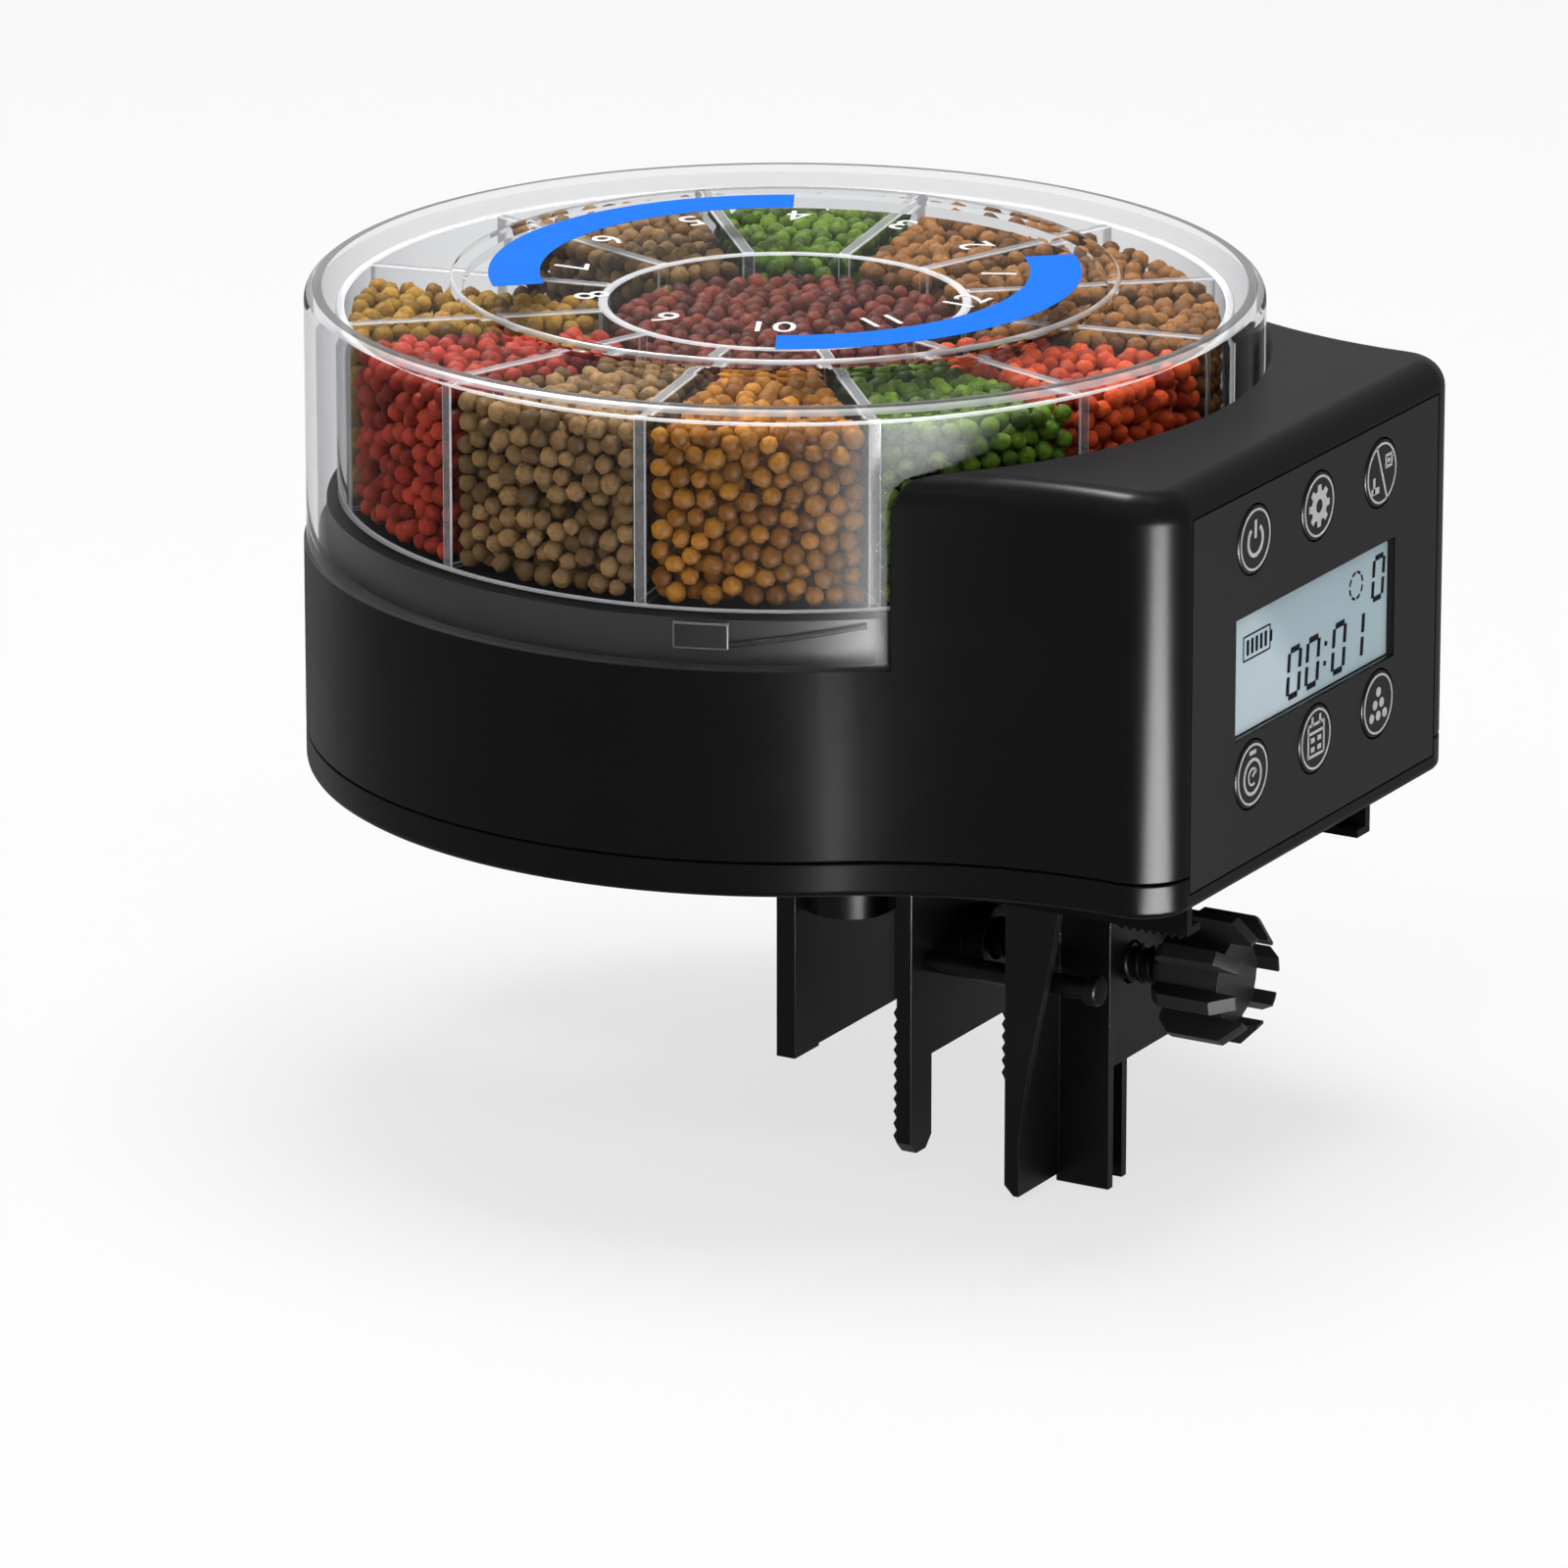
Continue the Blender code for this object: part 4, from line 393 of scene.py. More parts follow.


# Each lug is a block whose rounded edges are painted paler as a highlight, and a thin ramp rises beside it
# for the lid to ride up.
lug_highlight_abs = plastic(
    "lug_highlight_abs", (0.10, 0.10, 0.103), (0.13, 0.13, 0.133), 0.3, 0.2, scale=900.0, depth=0.000001
)
lug_abs = plastic(
    "lug_abs", (0.004, 0.004, 0.0045), (0.006, 0.006, 0.0065), 0.25, 0.2, scale=900.0, depth=0.000001
)
lug_half = 3.4
lug_outer = 72.4
lug_inner = 70.9
lug_low, lug_top = 38.2, 42.4
lug_edge = 0.3
ramp_start, ramp_end = 3.0, 20.0
ramp_thickness = 0.45
ramp_radius = 71.6
ramp_low = 38.8
ramp_rise = 2.9
ramp_steps = 12
for number, middle in enumerate((-70.2, 49.8, 169.8), 1):
    outline = arc(0.0, 0.0, lug_outer, middle - lug_half, middle + lug_half, 6)
    outline += arc(0.0, 0.0, lug_inner, middle + lug_half, middle - lug_half, 6)
    lug = block(f"lug_{number}", outline, lug_low, lug_top)
    lug.data.materials.append(lug_abs)
    lug.data.materials.append(lug_highlight_abs)
    soften(lug, lug_edge, edge_material=1)
    curve = bpy.data.curves.new("ramp", "CURVE")
    curve.dimensions = "3D"
    curve.bevel_depth = ramp_thickness
    curve.use_fill_caps = True
    rises = [ramp_low + ramp_rise * step / ramp_steps for step in range(ramp_steps + 1)]
    route = arc(0.0, 0.0, ramp_radius, middle + ramp_start, middle + ramp_end, ramp_steps)
    ramp = along_line("ramp", curve, [(x, y, z) for (x, y), z in zip(route, rises)])
    ramp.data.materials.append(lug_abs)
    join(lug, ramp)
    settle(lug, "housing", lug_abs, "black_abs")

# Bottom cover
# A shallow black tray, moulded in the same plastic, closes the housing from below with four screws. The two
# channels that the clamp slides in and a short toothed rack are moulded on its underside.
cover_top = 5.4
cover_floor = 2.0
cover_lip = 2.6
cover_rounding = 1.2
below_cover, above_cover = -2.0, 9.0
cover = block("cover", plan(0.0), 0.0, cover_top)
round_edges(cover, 0.0, cover_rounding, 4)
round_edges(cover, cover_top, seam_rounding, 2)
carve(cover, block("tray", plan(wall), cover_floor, above_cover))
front_wall_back = 89.3
front_low = (front_wall_back, -opening_half_width, cover_lip)
carve(cover, slab("front", front_low, (before_panel, opening_half_width, above_cover)))

# The bay for the cells is a box that stands on the tray and is open below, where the door closes it.
bay_start, bay_side = -24.0, 21.5
bay_end, bay_far_side = 28.7, 51.4
bay_box_end, bay_box_far_side = 30.4, 52.6
bay_height = 19.0
bay_wall = 1.5
bite = 0.4
bay_box_low = (bay_start - bay_wall, bay_side - bay_wall, cover_floor - bite)
bay_box_high = (bay_box_end, bay_box_far_side, bay_height + bay_wall)
carve(cover, slab("bay_box", bay_box_low, bay_box_high), operation="UNION")
carve(cover, slab("bay_room", (bay_start, bay_side, below_cover), (bay_end, bay_far_side, bay_height)))
chute_wall = 1.4
slip = 0.3
chute_hole = outlet_outline(outlet_half_width + chute_wall + slip)
carve(cover, block("chute_hole", chute_hole, below_cover, above_cover))
cover_screw_places = ((-35.56, 50.79), (-35.56, -50.79), (80.0, 42.0), (80.0, -42.0))
boss_radius = 4.0
boss_low, boss_top = cover_floor - bite, 3.6
head_room_radius = 3.0
head_room_depth = 2.2
screw_hole_radius = 1.5
for x, y in cover_screw_places:
    carve(cover, rod("boss", boss_radius, boss_low, boss_top, x, y), operation="UNION")
    carve(cover, rod("head_room", head_room_radius, below_cover, head_room_depth, x, y))
    carve(cover, rod("screw_hole", screw_hole_radius, below_cover, above_cover, x, y))
clamp_y = -10.0
rail_start, rail_end = 12.0, 92.8
rail_section = [(30.0, 0.4), (30.0, -4.0), (25.8, -4.0), (25.8, -2.8), (28.5, -2.8), (28.5, 0.4)]
for side in (-1, 1):
    rail = [(clamp_y + side * across, height) for across, height in rail_section]
    carve(cover, lay_along(block("rail", rail, rail_start, rail_end), "X"), operation="UNION")
rack_start = 80.1
rack_pitch = 1.4
rack_teeth = 8
rack_end = rack_start + rack_pitch * rack_teeth
rack_top, tooth_root, tooth_tip = -3.6, -4.4, -5.2
rack_near, rack_far = 36.4, 38.5
teeth = []
for tooth in range(rack_teeth):
    x = rack_start + rack_pitch * tooth
    teeth += [(x, tooth_root), (x + rack_pitch / 2, tooth_tip)]
teeth += [(rack_end, tooth_root), (rack_end, rack_top), (rack_start, rack_top)]
carve(cover, lay_along(block("rack", teeth, rack_near, rack_far), "Y"), operation="UNION")
settle(cover, "housing", black_abs, "black_abs", "bottom_cover")

# Battery door, screws and chute
# The door is a flat black plate with three finger grooves, the cover's screws are plated steel and the chute
# is a plain tube that carries food from the deck out through the cover.
door_low = (bay_start + slip, bay_side + slip, 0.0)
door_high = (bay_end - slip, bay_far_side - slip, cover_floor)
door = slab("door", door_low, door_high)
groove_start, groove_pitch = 18.7, 2.67
groove_width, groove_depth = 1.0, 0.5
groove_near, groove_far = 28.45, 44.45
for number in range(3):
    x = groove_start + groove_pitch * number
    carve(door, slab("groove", (x, groove_near, below_cover), (x + groove_width, groove_far, groove_depth)))
rib_half, rib_top = 1.5, 4.0
rib_near, rib_far = 23.5, 49.4
door_rounding = 0.25
for x in (-10.8, 15.5):
    rib = slab("rib", (x - rib_half, rib_near, cover_floor - bite), (x + rib_half, rib_far, rib_top))
    carve(door, rib, operation="UNION")
soften(door, door_rounding)
settle(door, "battery_door", black_abs, "black_abs", "battery_door")

screw_steel = plastic("screw_steel", (0.42, 0.42, 0.43), (0.55, 0.55, 0.56), 0.32, 0.5, 900.0, metal=1.0)
screw_profile = [(0.0, 0.9), (1.0, 0.9), (1.0, 0.3), (1.9, 0.3), (2.5, 0.7), (2.7, 1.2), (2.7, 1.9)]
screw_profile += [(1.2, 1.9), (1.2, 10.6), (0.0, 11.4)]
for number, (x, y) in enumerate(cover_screw_places, 1):
    screw = spun(f"screw_{number}", screw_profile, 32)
    screw.data.transform(Matrix.Translation((x, y, 0.0)))
    settle(screw, "housing", screw_steel, "screw_steel", f"cover_screw_{number}")

chute_low, chute_top = 0.3, 40.2
under_chute, over_chute = -1.0, 42.0
flange_low, flange_top = 2.3, 3.8
flange_reach = 3.0
chute_rounding = 0.2
chute = block("chute", outlet_outline(outlet_half_width + chute_wall), chute_low, chute_top)
flange = block("flange", outlet_outline(outlet_half_width + flange_reach), flange_low, flange_top)
carve(chute, flange, operation="UNION")
carve(chute, block("way", outlet_outline(outlet_half_width), under_chute, over_chute))
soften(chute, chute_rounding)
settle(chute, "housing", black_abs, "black_abs", "outlet_chute")

# Works inside the housing
# A geared motor turns the wheel through an acetal pinion and gear with a notched index disc. A switch, two
# cells, sprung contacts and the main board sit round it, and none of them shows with the feeder shut.
white_acetal = plastic("white_acetal", (0.62, 0.61, 0.57), (0.74, 0.73, 0.69), 0.45, 0.4, 700.0, 0.00003)
motor_can = plastic("motor_can", (0.34, 0.35, 0.36), (0.48, 0.49, 0.5), 0.34, 0.5, 500.0, metal=0.95)
spring_steel = plastic("spring_steel", (0.55, 0.53, 0.48), (0.7, 0.68, 0.62), 0.28, 0.5, 600.0, metal=1.0)
cell_sleeve = plastic("cell_sleeve", (0.025, 0.06, 0.13), (0.04, 0.09, 0.2), 0.3, 0.5, 400.0, 0.00001, 0.2)
green_board = plastic("green_board", (0.01, 0.06, 0.025), (0.016, 0.1, 0.04), 0.4, 0.5, 1200.0, 0.00003)
finishes = {
    "drive_gear": white_acetal,
    "motor_pinion": white_acetal,
    "gear_motor": motor_can,
    "index_switch": black_abs,
    "main_board": green_board,
    "motor_screw_1": screw_steel,
    "motor_screw_2": screw_steel,
    "battery_cell_1": cell_sleeve,
    "battery_cell_2": cell_sleeve,
    "battery_contact_bridge": spring_steel,
    "battery_contact_plus": spring_steel,
    "battery_contact_minus": spring_steel,
}
for name in ("power", "settings", "lock", "timer", "calendar", "portion"):
    finishes["key_dome_" + name] = spring_steel
for name, finish in finishes.items():
    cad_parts[name].data.materials.clear()
    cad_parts[name].data.materials.append(finish)

# Front panel, window and display
# A flat black plate fills the front of the box, flush with it, with a thin line round it. A clear pane covers
# the grey display, whose black segments show a clock, a battery sign and the number of portions.


def plate(name, half_width, low, high, back, front):
    """A flat plate across the front of the box, given by its half width, its heights and its two faces."""
    outline = [(-half_width, low), (half_width, low), (half_width, high), (-half_width, high)]
    return lay_along(block(name, outline, back, front), "X")


window_half_width = 26.2
window_low = 22.8
window_high = 42.0
key_pitch = 20.8
upper_row = 53.5
lower_row = 16.5
key_hole_radius = 5.6
keys = {
    "power": (-key_pitch, upper_row),
    "settings": (0.0, upper_row),
    "lock": (key_pitch, upper_row),
    "timer": (-key_pitch, lower_row),
    "calendar": (0.0, lower_row),
    "portion": (key_pitch, lower_row),
}
panel_gap = 0.3
panel_thickness = 2.4
panel_rounding = 0.2
panel_edges = (cover_lip + panel_gap, opening_top - panel_gap)
panel = plate("panel", opening_half_width - panel_gap, *panel_edges, box_front - panel_thickness, box_front)
hole_low = (behind_panel, -window_half_width, window_low)
carve(panel, slab("window_hole", hole_low, (before_panel, window_half_width, window_high)))
for y, z in keys.values():
    carve(panel, lay_along(rod("key_hole", key_hole_radius, behind_panel, before_panel, y, z, 64), "X"))
soften(panel, panel_rounding)
panel_black = plastic("panel_black", (0.007, 0.007, 0.0075), (0.009, 0.009, 0.0095), 0.32, 0.05)
settle(panel, "housing", panel_black, "black_abs", "front_panel")


def clear(name, tint, shade, roughness, bend, coat, lets_in=0.97, blur=0.04):
    """A clear moulding, greyer seen along its skin, that lets light through to what lies under it."""
    made, tree, shader, place = new_material(name)
    haze = node(tree, "ShaderNodeTexNoise", {"Vector": place, "Scale": 38.0, "Detail": 3.0}).outputs[0]
    ends = {"Value": haze, "To Min": roughness, "To Max": roughness * 2.2}
    gloss = node(tree, "ShaderNodeMapRange", ends).outputs[0]
    flow = node(tree, "ShaderNodeTexNoise", {"Vector": place, "Scale": 16.0}).outputs[0]
    ripple = node(tree, "ShaderNodeBump", {"Strength": 0.06, "Distance": 0.0006, "Height": flow}).outputs[0]
    facing = node(tree, "ShaderNodeLayerWeight", {"Blend": 0.5}).outputs["Facing"]
    steep = node(tree, "ShaderNodeMath", {0: facing, 1: 3.0}, operation="POWER").outputs[0]
    tree.links.new(between(tree, steep, tint, shade), shader.inputs["Base Color"])
    tree.links.new(gloss, shader.inputs["Roughness"])
    tree.links.new(ripple, shader.inputs["Normal"])
    shader.inputs["Transmission Weight"].default_value = 1.0
    shader.inputs["IOR"].default_value = bend
    shader.inputs["Coat Weight"].default_value = coat
    shader.inputs["Coat Roughness"].default_value = blur
    through = node(tree, "ShaderNodeBsdfTransparent", {"Color": (lets_in, lets_in, lets_in, 1.0)})
    shadow = node(tree, "ShaderNodeLightPath").outputs["Is Shadow Ray"]
    mix = node(tree, "ShaderNodeMixShader", {0: shadow, 1: shader.outputs[0], 2: through.outputs[0]})
    tree.links.new(mix.outputs[0], tree.nodes["Material Output"].inputs["Surface"])
    return made


pane_clear = clear("pane_clear", (1.0, 1.0, 1.0), (0.8, 0.82, 0.84), 0.02, 1.03, 0.03)
pane_edges = (window_low + panel_gap, window_high - panel_gap)
pane_back, pane_front = 92.3, 93.1
pane_rounding = 0.15
pane = plate("pane", window_half_width - panel_gap, *pane_edges, pane_back, pane_front)
soften(pane, pane_rounding)
settle(pane, "housing", pane_clear, "display_window", "lcd_window")

# The display's grey is paler towards one corner, with a slanting edge where the two shades meet.
lcd_grey, tree, shader, place = new_material("lcd_grey")
axes = node(tree, "ShaderNodeSeparateXYZ", {"Vector": place}).outputs
slant = node(tree, "ShaderNodeMath", {0: axes["Y"], 1: 1.1}, operation="MULTIPLY").outputs[0]
slope = node(tree, "ShaderNodeMath", {0: axes["Z"], 1: slant}, operation="ADD").outputs[0]
dusk = node(tree, "ShaderNodeMapRange", {"Value": slope, "From Min": 0.046, "From Max": 0.054}).outputs[0]
paper = between(tree, dusk, (0.52, 0.62, 0.67), (0.38, 0.48, 0.53))
cells = node(tree, "ShaderNodeTexNoise", {"Vector": place, "Scale": 4200.0}).outputs["Color"]
speckled = node(tree, "ShaderNodeMix", {0: 0.06, 6: paper, 7: cells}, data_type="RGBA", blend_type="MULTIPLY")
tree.links.new(speckled.outputs[2], shader.inputs["Base Color"])
shader.inputs["Roughness"].default_value = 0.6
shader.inputs["Specular IOR Level"].default_value = 0.0
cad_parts["lcd_module"].data.materials.clear()
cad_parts["lcd_module"].data.materials.append(lcd_grey)


def bar(y0, z0, y1, z1, width):
    """The outline of a straight line with square ends."""
    along = Vector((y1 - y0, z1 - z0)).normalized() * width / 2
    across = Vector((-along.y, along.x))
    start = Vector((y0, z0))
    end = Vector((y1, z1))
    return [tuple(point) for point in (start - across, end - across, end + across, start + across)]


def ring(y, z, inner, outer, start=0.0, end=360.0, steps=48):
    """Outlines of a ring, in two halves so that each is a plain outline."""
    middle = (start + end) / 2
    halves = []
    for low, high in ((start, middle), (middle, end)):
        halves.append(arc(y, z, outer, low, high, steps // 2) + arc(y, z, inner, high, low, steps // 2))
    return halves


def printed(name, outlines, x, depth, body, material, slot):
    """Thin printed shapes on a face of the box, joined into one piece."""
    pieces = [lay_along(block("stroke", points, x, x + depth), "X") for points in outlines]
    join(*pieces)
    pieces[0].name = name
    settle(pieces[0], body, material, slot)


def digit(y, z, height, lit):
    """Seven slanting segments, of which the lit ones are drawn."""
    width = height * 0.5
    thick = height * 0.13
    lean = 0.09
    ends = {
        "a": (0.1, 1.0, 0.9, 1.0),
        "b": (1.0, 0.95, 1.0, 0.55),
        "c": (1.0, 0.45, 1.0, 0.05),
        "d": (0.1, 0.0, 0.9, 0.0),
        "e": (0.0, 0.45, 0.0, 0.05),
        "f": (0.0, 0.95, 0.0, 0.55),
        "g": (0.1, 0.5, 0.9, 0.5),
    }
    outlines = []
    for letter in lit:
        u0, v0, u1, v1 = ends[letter]
        start = (y + u0 * width + v0 * height * lean, z + v0 * height)
        finish = (y + u1 * width + v1 * height * lean, z + v1 * height)
        outlines.append(bar(*start, *finish, thick))
    return outlines


lcd_ink = plastic("lcd_ink", (0.005, 0.006, 0.007), (0.008, 0.009, 0.01), 0.5, 0.0, 3000.0, 0.000005)
zero = "abcdef"
one = "bc"
clock_low = 24.6
clock_height = 7.3
marks = []
for y, lit in ((-7.1, zero), (-1.0, zero), (7.7, zero), (13.8, one)):
    marks += digit(y, clock_low, clock_height, lit)
colon = [bar(5.1, 26.6, 5.3, 27.3, 0.9), bar(5.4, 29.7, 5.6, 30.4, 0.9)]
portions = digit(20.9, 32.9, 6.5, zero)
marks += colon + portions
for step in range(8):
    marks += ring(15.4, 36.7, 1.9, 2.3, step * 45.0 + 6.0, step * 45.0 + 36.0, 8)
sign_left, sign_right = -21.6, -13.0
sign_low, sign_high = 34.2, 38.0
sign_line = 0.25
level_pitch = 1.45
marks += [bar(sign_left, z, sign_right, z, sign_line) for z in (sign_low, sign_high)]
marks += [bar(y, sign_low, y, sign_high, sign_line) for y in (sign_left, sign_right)]
marks.append(bar(sign_right + 0.4, 35.2, sign_right + 0.4, 37.0, 0.6))
levels = [sign_left + 1.4 + level_pitch * level for level in range(5)]
marks += [bar(y, 34.9, y, 37.3, 0.75) for y in levels]
display_face = 92.02
mark_depth = 0.06
printed("display_marks", marks, display_face, mark_depth, "housing", lcd_ink, "display_glass")

# Keys
# Six round caps stand just proud of the panel, each with a white ring and a pictogram printed on its face.
# They are black ABS, sprung by the metal domes behind them.
white_ink = plastic("white_ink", (0.93, 0.93, 0.93), (0.98, 0.98, 0.98), 0.5, 0.1, 2000.0, 0.000005)
cap_front = 93.5
cap_radius = 5.3
cap_edge = 0.35
flange_radius = 6.0
flange_front, flange_back = 90.3, 89.4
cap_profile = [(0.0, cap_front), (cap_radius - cap_edge, cap_front)]
cap_profile += arc(cap_radius - cap_edge, cap_front - cap_edge, cap_edge, 90.0, 0.0, 4)[1:]
cap_profile += [(cap_radius, flange_front), (flange_radius, flange_front), (flange_radius, flange_back)]
cap_profile.append((0.0, flange_back))
for name, (y, z) in keys.items():
    cap = lay_along(spun("cap_" + name, cap_profile, 64), "X")
    cap.data.transform(Matrix.Translation((0.0, y, z)))
    settle(cap, "key_" + name, panel_black, "black_abs", "key_" + name)


def gear_points(root, tip, count):
    """The outline of a cog about the middle of its key."""
    pitch = 360.0 / count
    points = []
    for tooth in range(count):
        middle = 360.0 * tooth / count
        points += arc(0.0, 0.0, tip, middle - pitch * 0.2, middle + pitch * 0.2, 2)
        points += arc(0.0, 0.0, root, middle + pitch * 0.32, middle + pitch * 0.68, 2)
    return points


# The pictograms are drawn about the middle of their keys and then put in their places, a little larger.
pictures = {"power": ring(0.0, -0.1, 1.55, 2.05, 128.0, 412.0) + [bar(0.0, 0.2, 0.0, 2.4, 0.55)]}
cog = gear_points(1.9, 2.6, 8)
halfway = len(cog) // 2
pictures["settings"] = [cog[: halfway + 1] + arc(0.0, 0.0, 0.85, 180.0, -8.0, 20)]
pictures["settings"].append(cog[halfway:] + [cog[0]] + arc(0.0, 0.0, 0.85, -8.0, -180.0, 20))
pictures["lock"] = [bar(-1.4, 3.4, 1.4, -3.4, 0.35)]
pictures["lock"] += [bar(0.9, v, 2.7, v, 0.35) for v in (0.5, 1.9)]
pictures["lock"] += [bar(u, 0.5, u, 1.9, 0.35) for u in (1.05, 2.55)]
pictures["lock"].append(bar(1.5, 1.2, 2.1, 1.2, 0.5))
pictures["lock"] += [bar(-2.0, -2.2, -2.0, -0.2, 0.5), bar(-2.7, -1.9, -0.7, -1.9, 0.8)]
pictures["timer"] = ring(0.0, -0.3, 1.9, 2.3) + [bar(-0.8, 2.7, 0.8, 2.7, 0.5)]
pictures["timer"] += ring(0.0, -0.3, 0.85, 1.15, 20.0, 300.0, 24) + [bar(0.0, -0.3, 0.9, 0.5, 0.35)]
pictures["calendar"] = [bar(-2.1, v, 2.1, v, 0.35) for v in (-2.0, 0.9, 1.9)]
pictures["calendar"] += [bar(u, -2.15, u, 2.05, 0.35) for u in (-2.0, 2.0)]
pictures["calendar"] += [bar(u, 1.7, u, 2.9, 0.45) for u in (-1.0, 1.0)]
pictures["calendar"] += [bar(u - 0.45, v, u + 0.45, v, 0.6) for u in (-0.85, 0.85) for v in (-1.15, 0.0)]
pictures["portion"] = []
for row, count in enumerate((1, 2, 3)):
    for dot in range(count):
        across = (dot - (count - 1) / 2) * 1.7
        pictures["portion"].append(arc(across, 1.5 - 1.5 * row, 0.6, 0.0, 337.5, 15))
enlarged = 1.28
ring_inner, ring_outer = 4.45, 4.8
print_depth = 0.07
for name, outlines in pictures.items():
    y, z = keys[name]
    outlines = [[(y + enlarged * u, z + enlarged * v) for u, v in points] for points in outlines]
    rings = ring(y, z, ring_inner, ring_outer, steps=64)
    printed("print_" + name, rings + outlines, cap_front, print_depth, "key_" + name, white_ink, "black_abs")

# Food wheel
# A clear moulding of twelve open compartments round a cup, dropped over a six-sided drive in the middle. It
# slides round on the deck, so the food in it is held from below by the housing.
wheel_clear = clear("wheel_clear", (0.93, 0.935, 0.94), (0.22, 0.23, 0.25), 0.03, 1.015, 0.014, 0.88, 0.3)
# Pale, half-clear paint on the bevelled edges of the clear mouldings is a painted highlight, for the light
# lines their edges catch.
clear_edge_highlight = plastic("clear_edge_highlight", (0.62, 0.63, 0.65), (0.78, 0.79, 0.81), 0.3, 0.5)
clear_edge_highlight.node_tree.nodes["Principled BSDF"].inputs["Alpha"].default_value = 0.5


def clear_part(obj, first, *others):
    """Gives a clear piece its material, and others to the faces that tests of radius and height pick."""
    obj.data.materials.clear()
    obj.data.materials.append(first)
    for number, (material, wanted) in enumerate(others, 1):
        obj.data.materials.append(material)
        for face in obj.data.polygons:
            if wanted(math.hypot(face.center.x, face.center.y), face.center.z):
                face.material_index = number


wheel_low = 43.3
wheel_top = 72.8
wheel_outer = 69.7
wheel_inner = 68.3
cup_outer = 29.0
cup_inner = 27.5
cup_floor = 45.3
sleeve_outer = 10.3
sleeve_inner = 8.1
sleeve_top = 57.8
sleeve_roof = 55.8
sleeve_edge = 0.2
foot_inner = 28.3
underside = 43.6
divider_half = 1.0
divider_rounding = 0.28
edge = 0.25
top_bevel = wheel_top - 0.24
low_bevel = wheel_low + 0.24
wall_profile = [(wheel_outer - edge, wheel_top), (wheel_outer, wheel_top - edge)]
wall_profile += [(wheel_outer, wheel_low + edge), (wheel_outer - edge, wheel_low)]
wall_profile += [(wheel_inner + edge, wheel_low), (wheel_inner, wheel_low + edge)]
wall_profile += [(wheel_inner, wheel_top - edge), (wheel_inner + edge, wheel_top)]
wheel = spun("wheel", wall_profile, drum_steps, closed=True)
clear_part(wheel, wheel_clear, (clear_edge_highlight, lambda out, height: not low_bevel <= height <= top_bevel))
cup_profile = [(0.0, sleeve_top), (sleeve_outer - sleeve_edge, sleeve_top)]
cup_profile += [(sleeve_outer, sleeve_top - sleeve_edge), (sleeve_outer, cup_floor), (cup_inner, cup_floor)]
cup_profile += [(cup_inner, wheel_top - edge), (cup_inner + edge, wheel_top)]
cup_profile += [(cup_outer - edge, wheel_top), (cup_outer, wheel_top - edge)]
cup_profile += [(cup_outer, wheel_low + edge), (cup_outer - edge, wheel_low)]
cup_profile += [(foot_inner, wheel_low), (foot_inner, underside), (sleeve_inner, underside)]
cup_profile += [(sleeve_inner, sleeve_roof), (0.0, sleeve_roof)]
cup = spun("cup", cup_profile, 128)
clear_part(cup, wheel_clear, (clear_edge_highlight, lambda out, height: height > top_bevel))
# Half-clear grey paint on the dividers' tops and outer ends is painted light and shade, for what their cut
# faces show.
clear_end_shading = plastic("clear_end_shading", (0.16, 0.163, 0.17), (0.22, 0.223, 0.23), 0.3, 0.2, 900.0, 0.00001)
clear_end_shading.node_tree.nodes["Principled BSDF"].inputs["Alpha"].default_value = 0.55
divider_low = (cup_outer - 0.1, -divider_half, wheel_low)
divider = slab("divider", divider_low, (wheel_inner + 0.05, divider_half, wheel_top))
divider_end = (clear_end_shading, lambda out, height: height > wheel_top - 0.1 or out > wheel_inner)
clear_part(divider, wheel_clear, divider_end)
divider.data.materials.append(clear_edge_highlight)
soften(divider, divider_rounding, edge_material=2)
compartments = 12
compartment_angle = 360.0 / compartments
first_divider = -18.7
dividers = [divider]
for number in range(1, compartments):
    copy = divider.copy()
    copy.data = divider.data.copy()
    bpy.context.scene.collection.objects.link(copy)
    dividers.append(turn(copy, first_divider + compartment_angle * number))
turn(divider, first_divider)
join(wheel, cup, *dividers)
settle(wheel, "wheel", wheel_clear, "clear_wheel", "food_wheel")

# Fish food
# Round pellets of extruded fish food fill the wheel, one colour to a compartment, with dark red ones in the
# cup. The compartment over the outlet is empty, having just been served.
pellet_size = 3.3
bpy.ops.object.select_all(action="DESELECT")
bpy.ops.mesh.primitive_uv_sphere_add(segments=8, ring_count=6, radius=0.5)
pellet = bpy.context.object
pellet_points = np.array([tuple(vertex.co) for vertex in pellet.data.vertices])
pellet_faces = [list(face.vertices) for face in pellet.data.polygons]
bpy.data.objects.remove(pellet, do_unlink=True)


def food(name, dull, bright):
    """Pellets whose colour drifts from one to the next, with a rough, dry skin."""
    made, tree, shader, place = new_material(name)
    own = node(tree, "ShaderNodeAttribute", attribute_name="pellet_shade").outputs["Fac"]
    crumb = node(tree, "ShaderNodeTexNoise", {"Vector": place, "Scale": 1400.0, "Detail": 3.0}).outputs[0]
    blend = node(tree, "ShaderNodeMath", {0: own, 1: crumb}, operation="MULTIPLY").outputs[0]
    spread = node(tree, "ShaderNodeMapRange", {"Value": blend, "From Max": 0.5}).outputs[0]
    relief = node(tree, "ShaderNodeBump", {"Strength": 0.5, "Distance": 0.0003, "Height": crumb}).outputs[0]
    tree.links.new(between(tree, spread, dull, bright), shader.inputs["Base Color"])
    tree.links.new(relief, shader.inputs["Normal"])
    shader.inputs["Roughness"].default_value = 0.55
    shader.inputs["Specular IOR Level"].default_value = 0.04
    return made


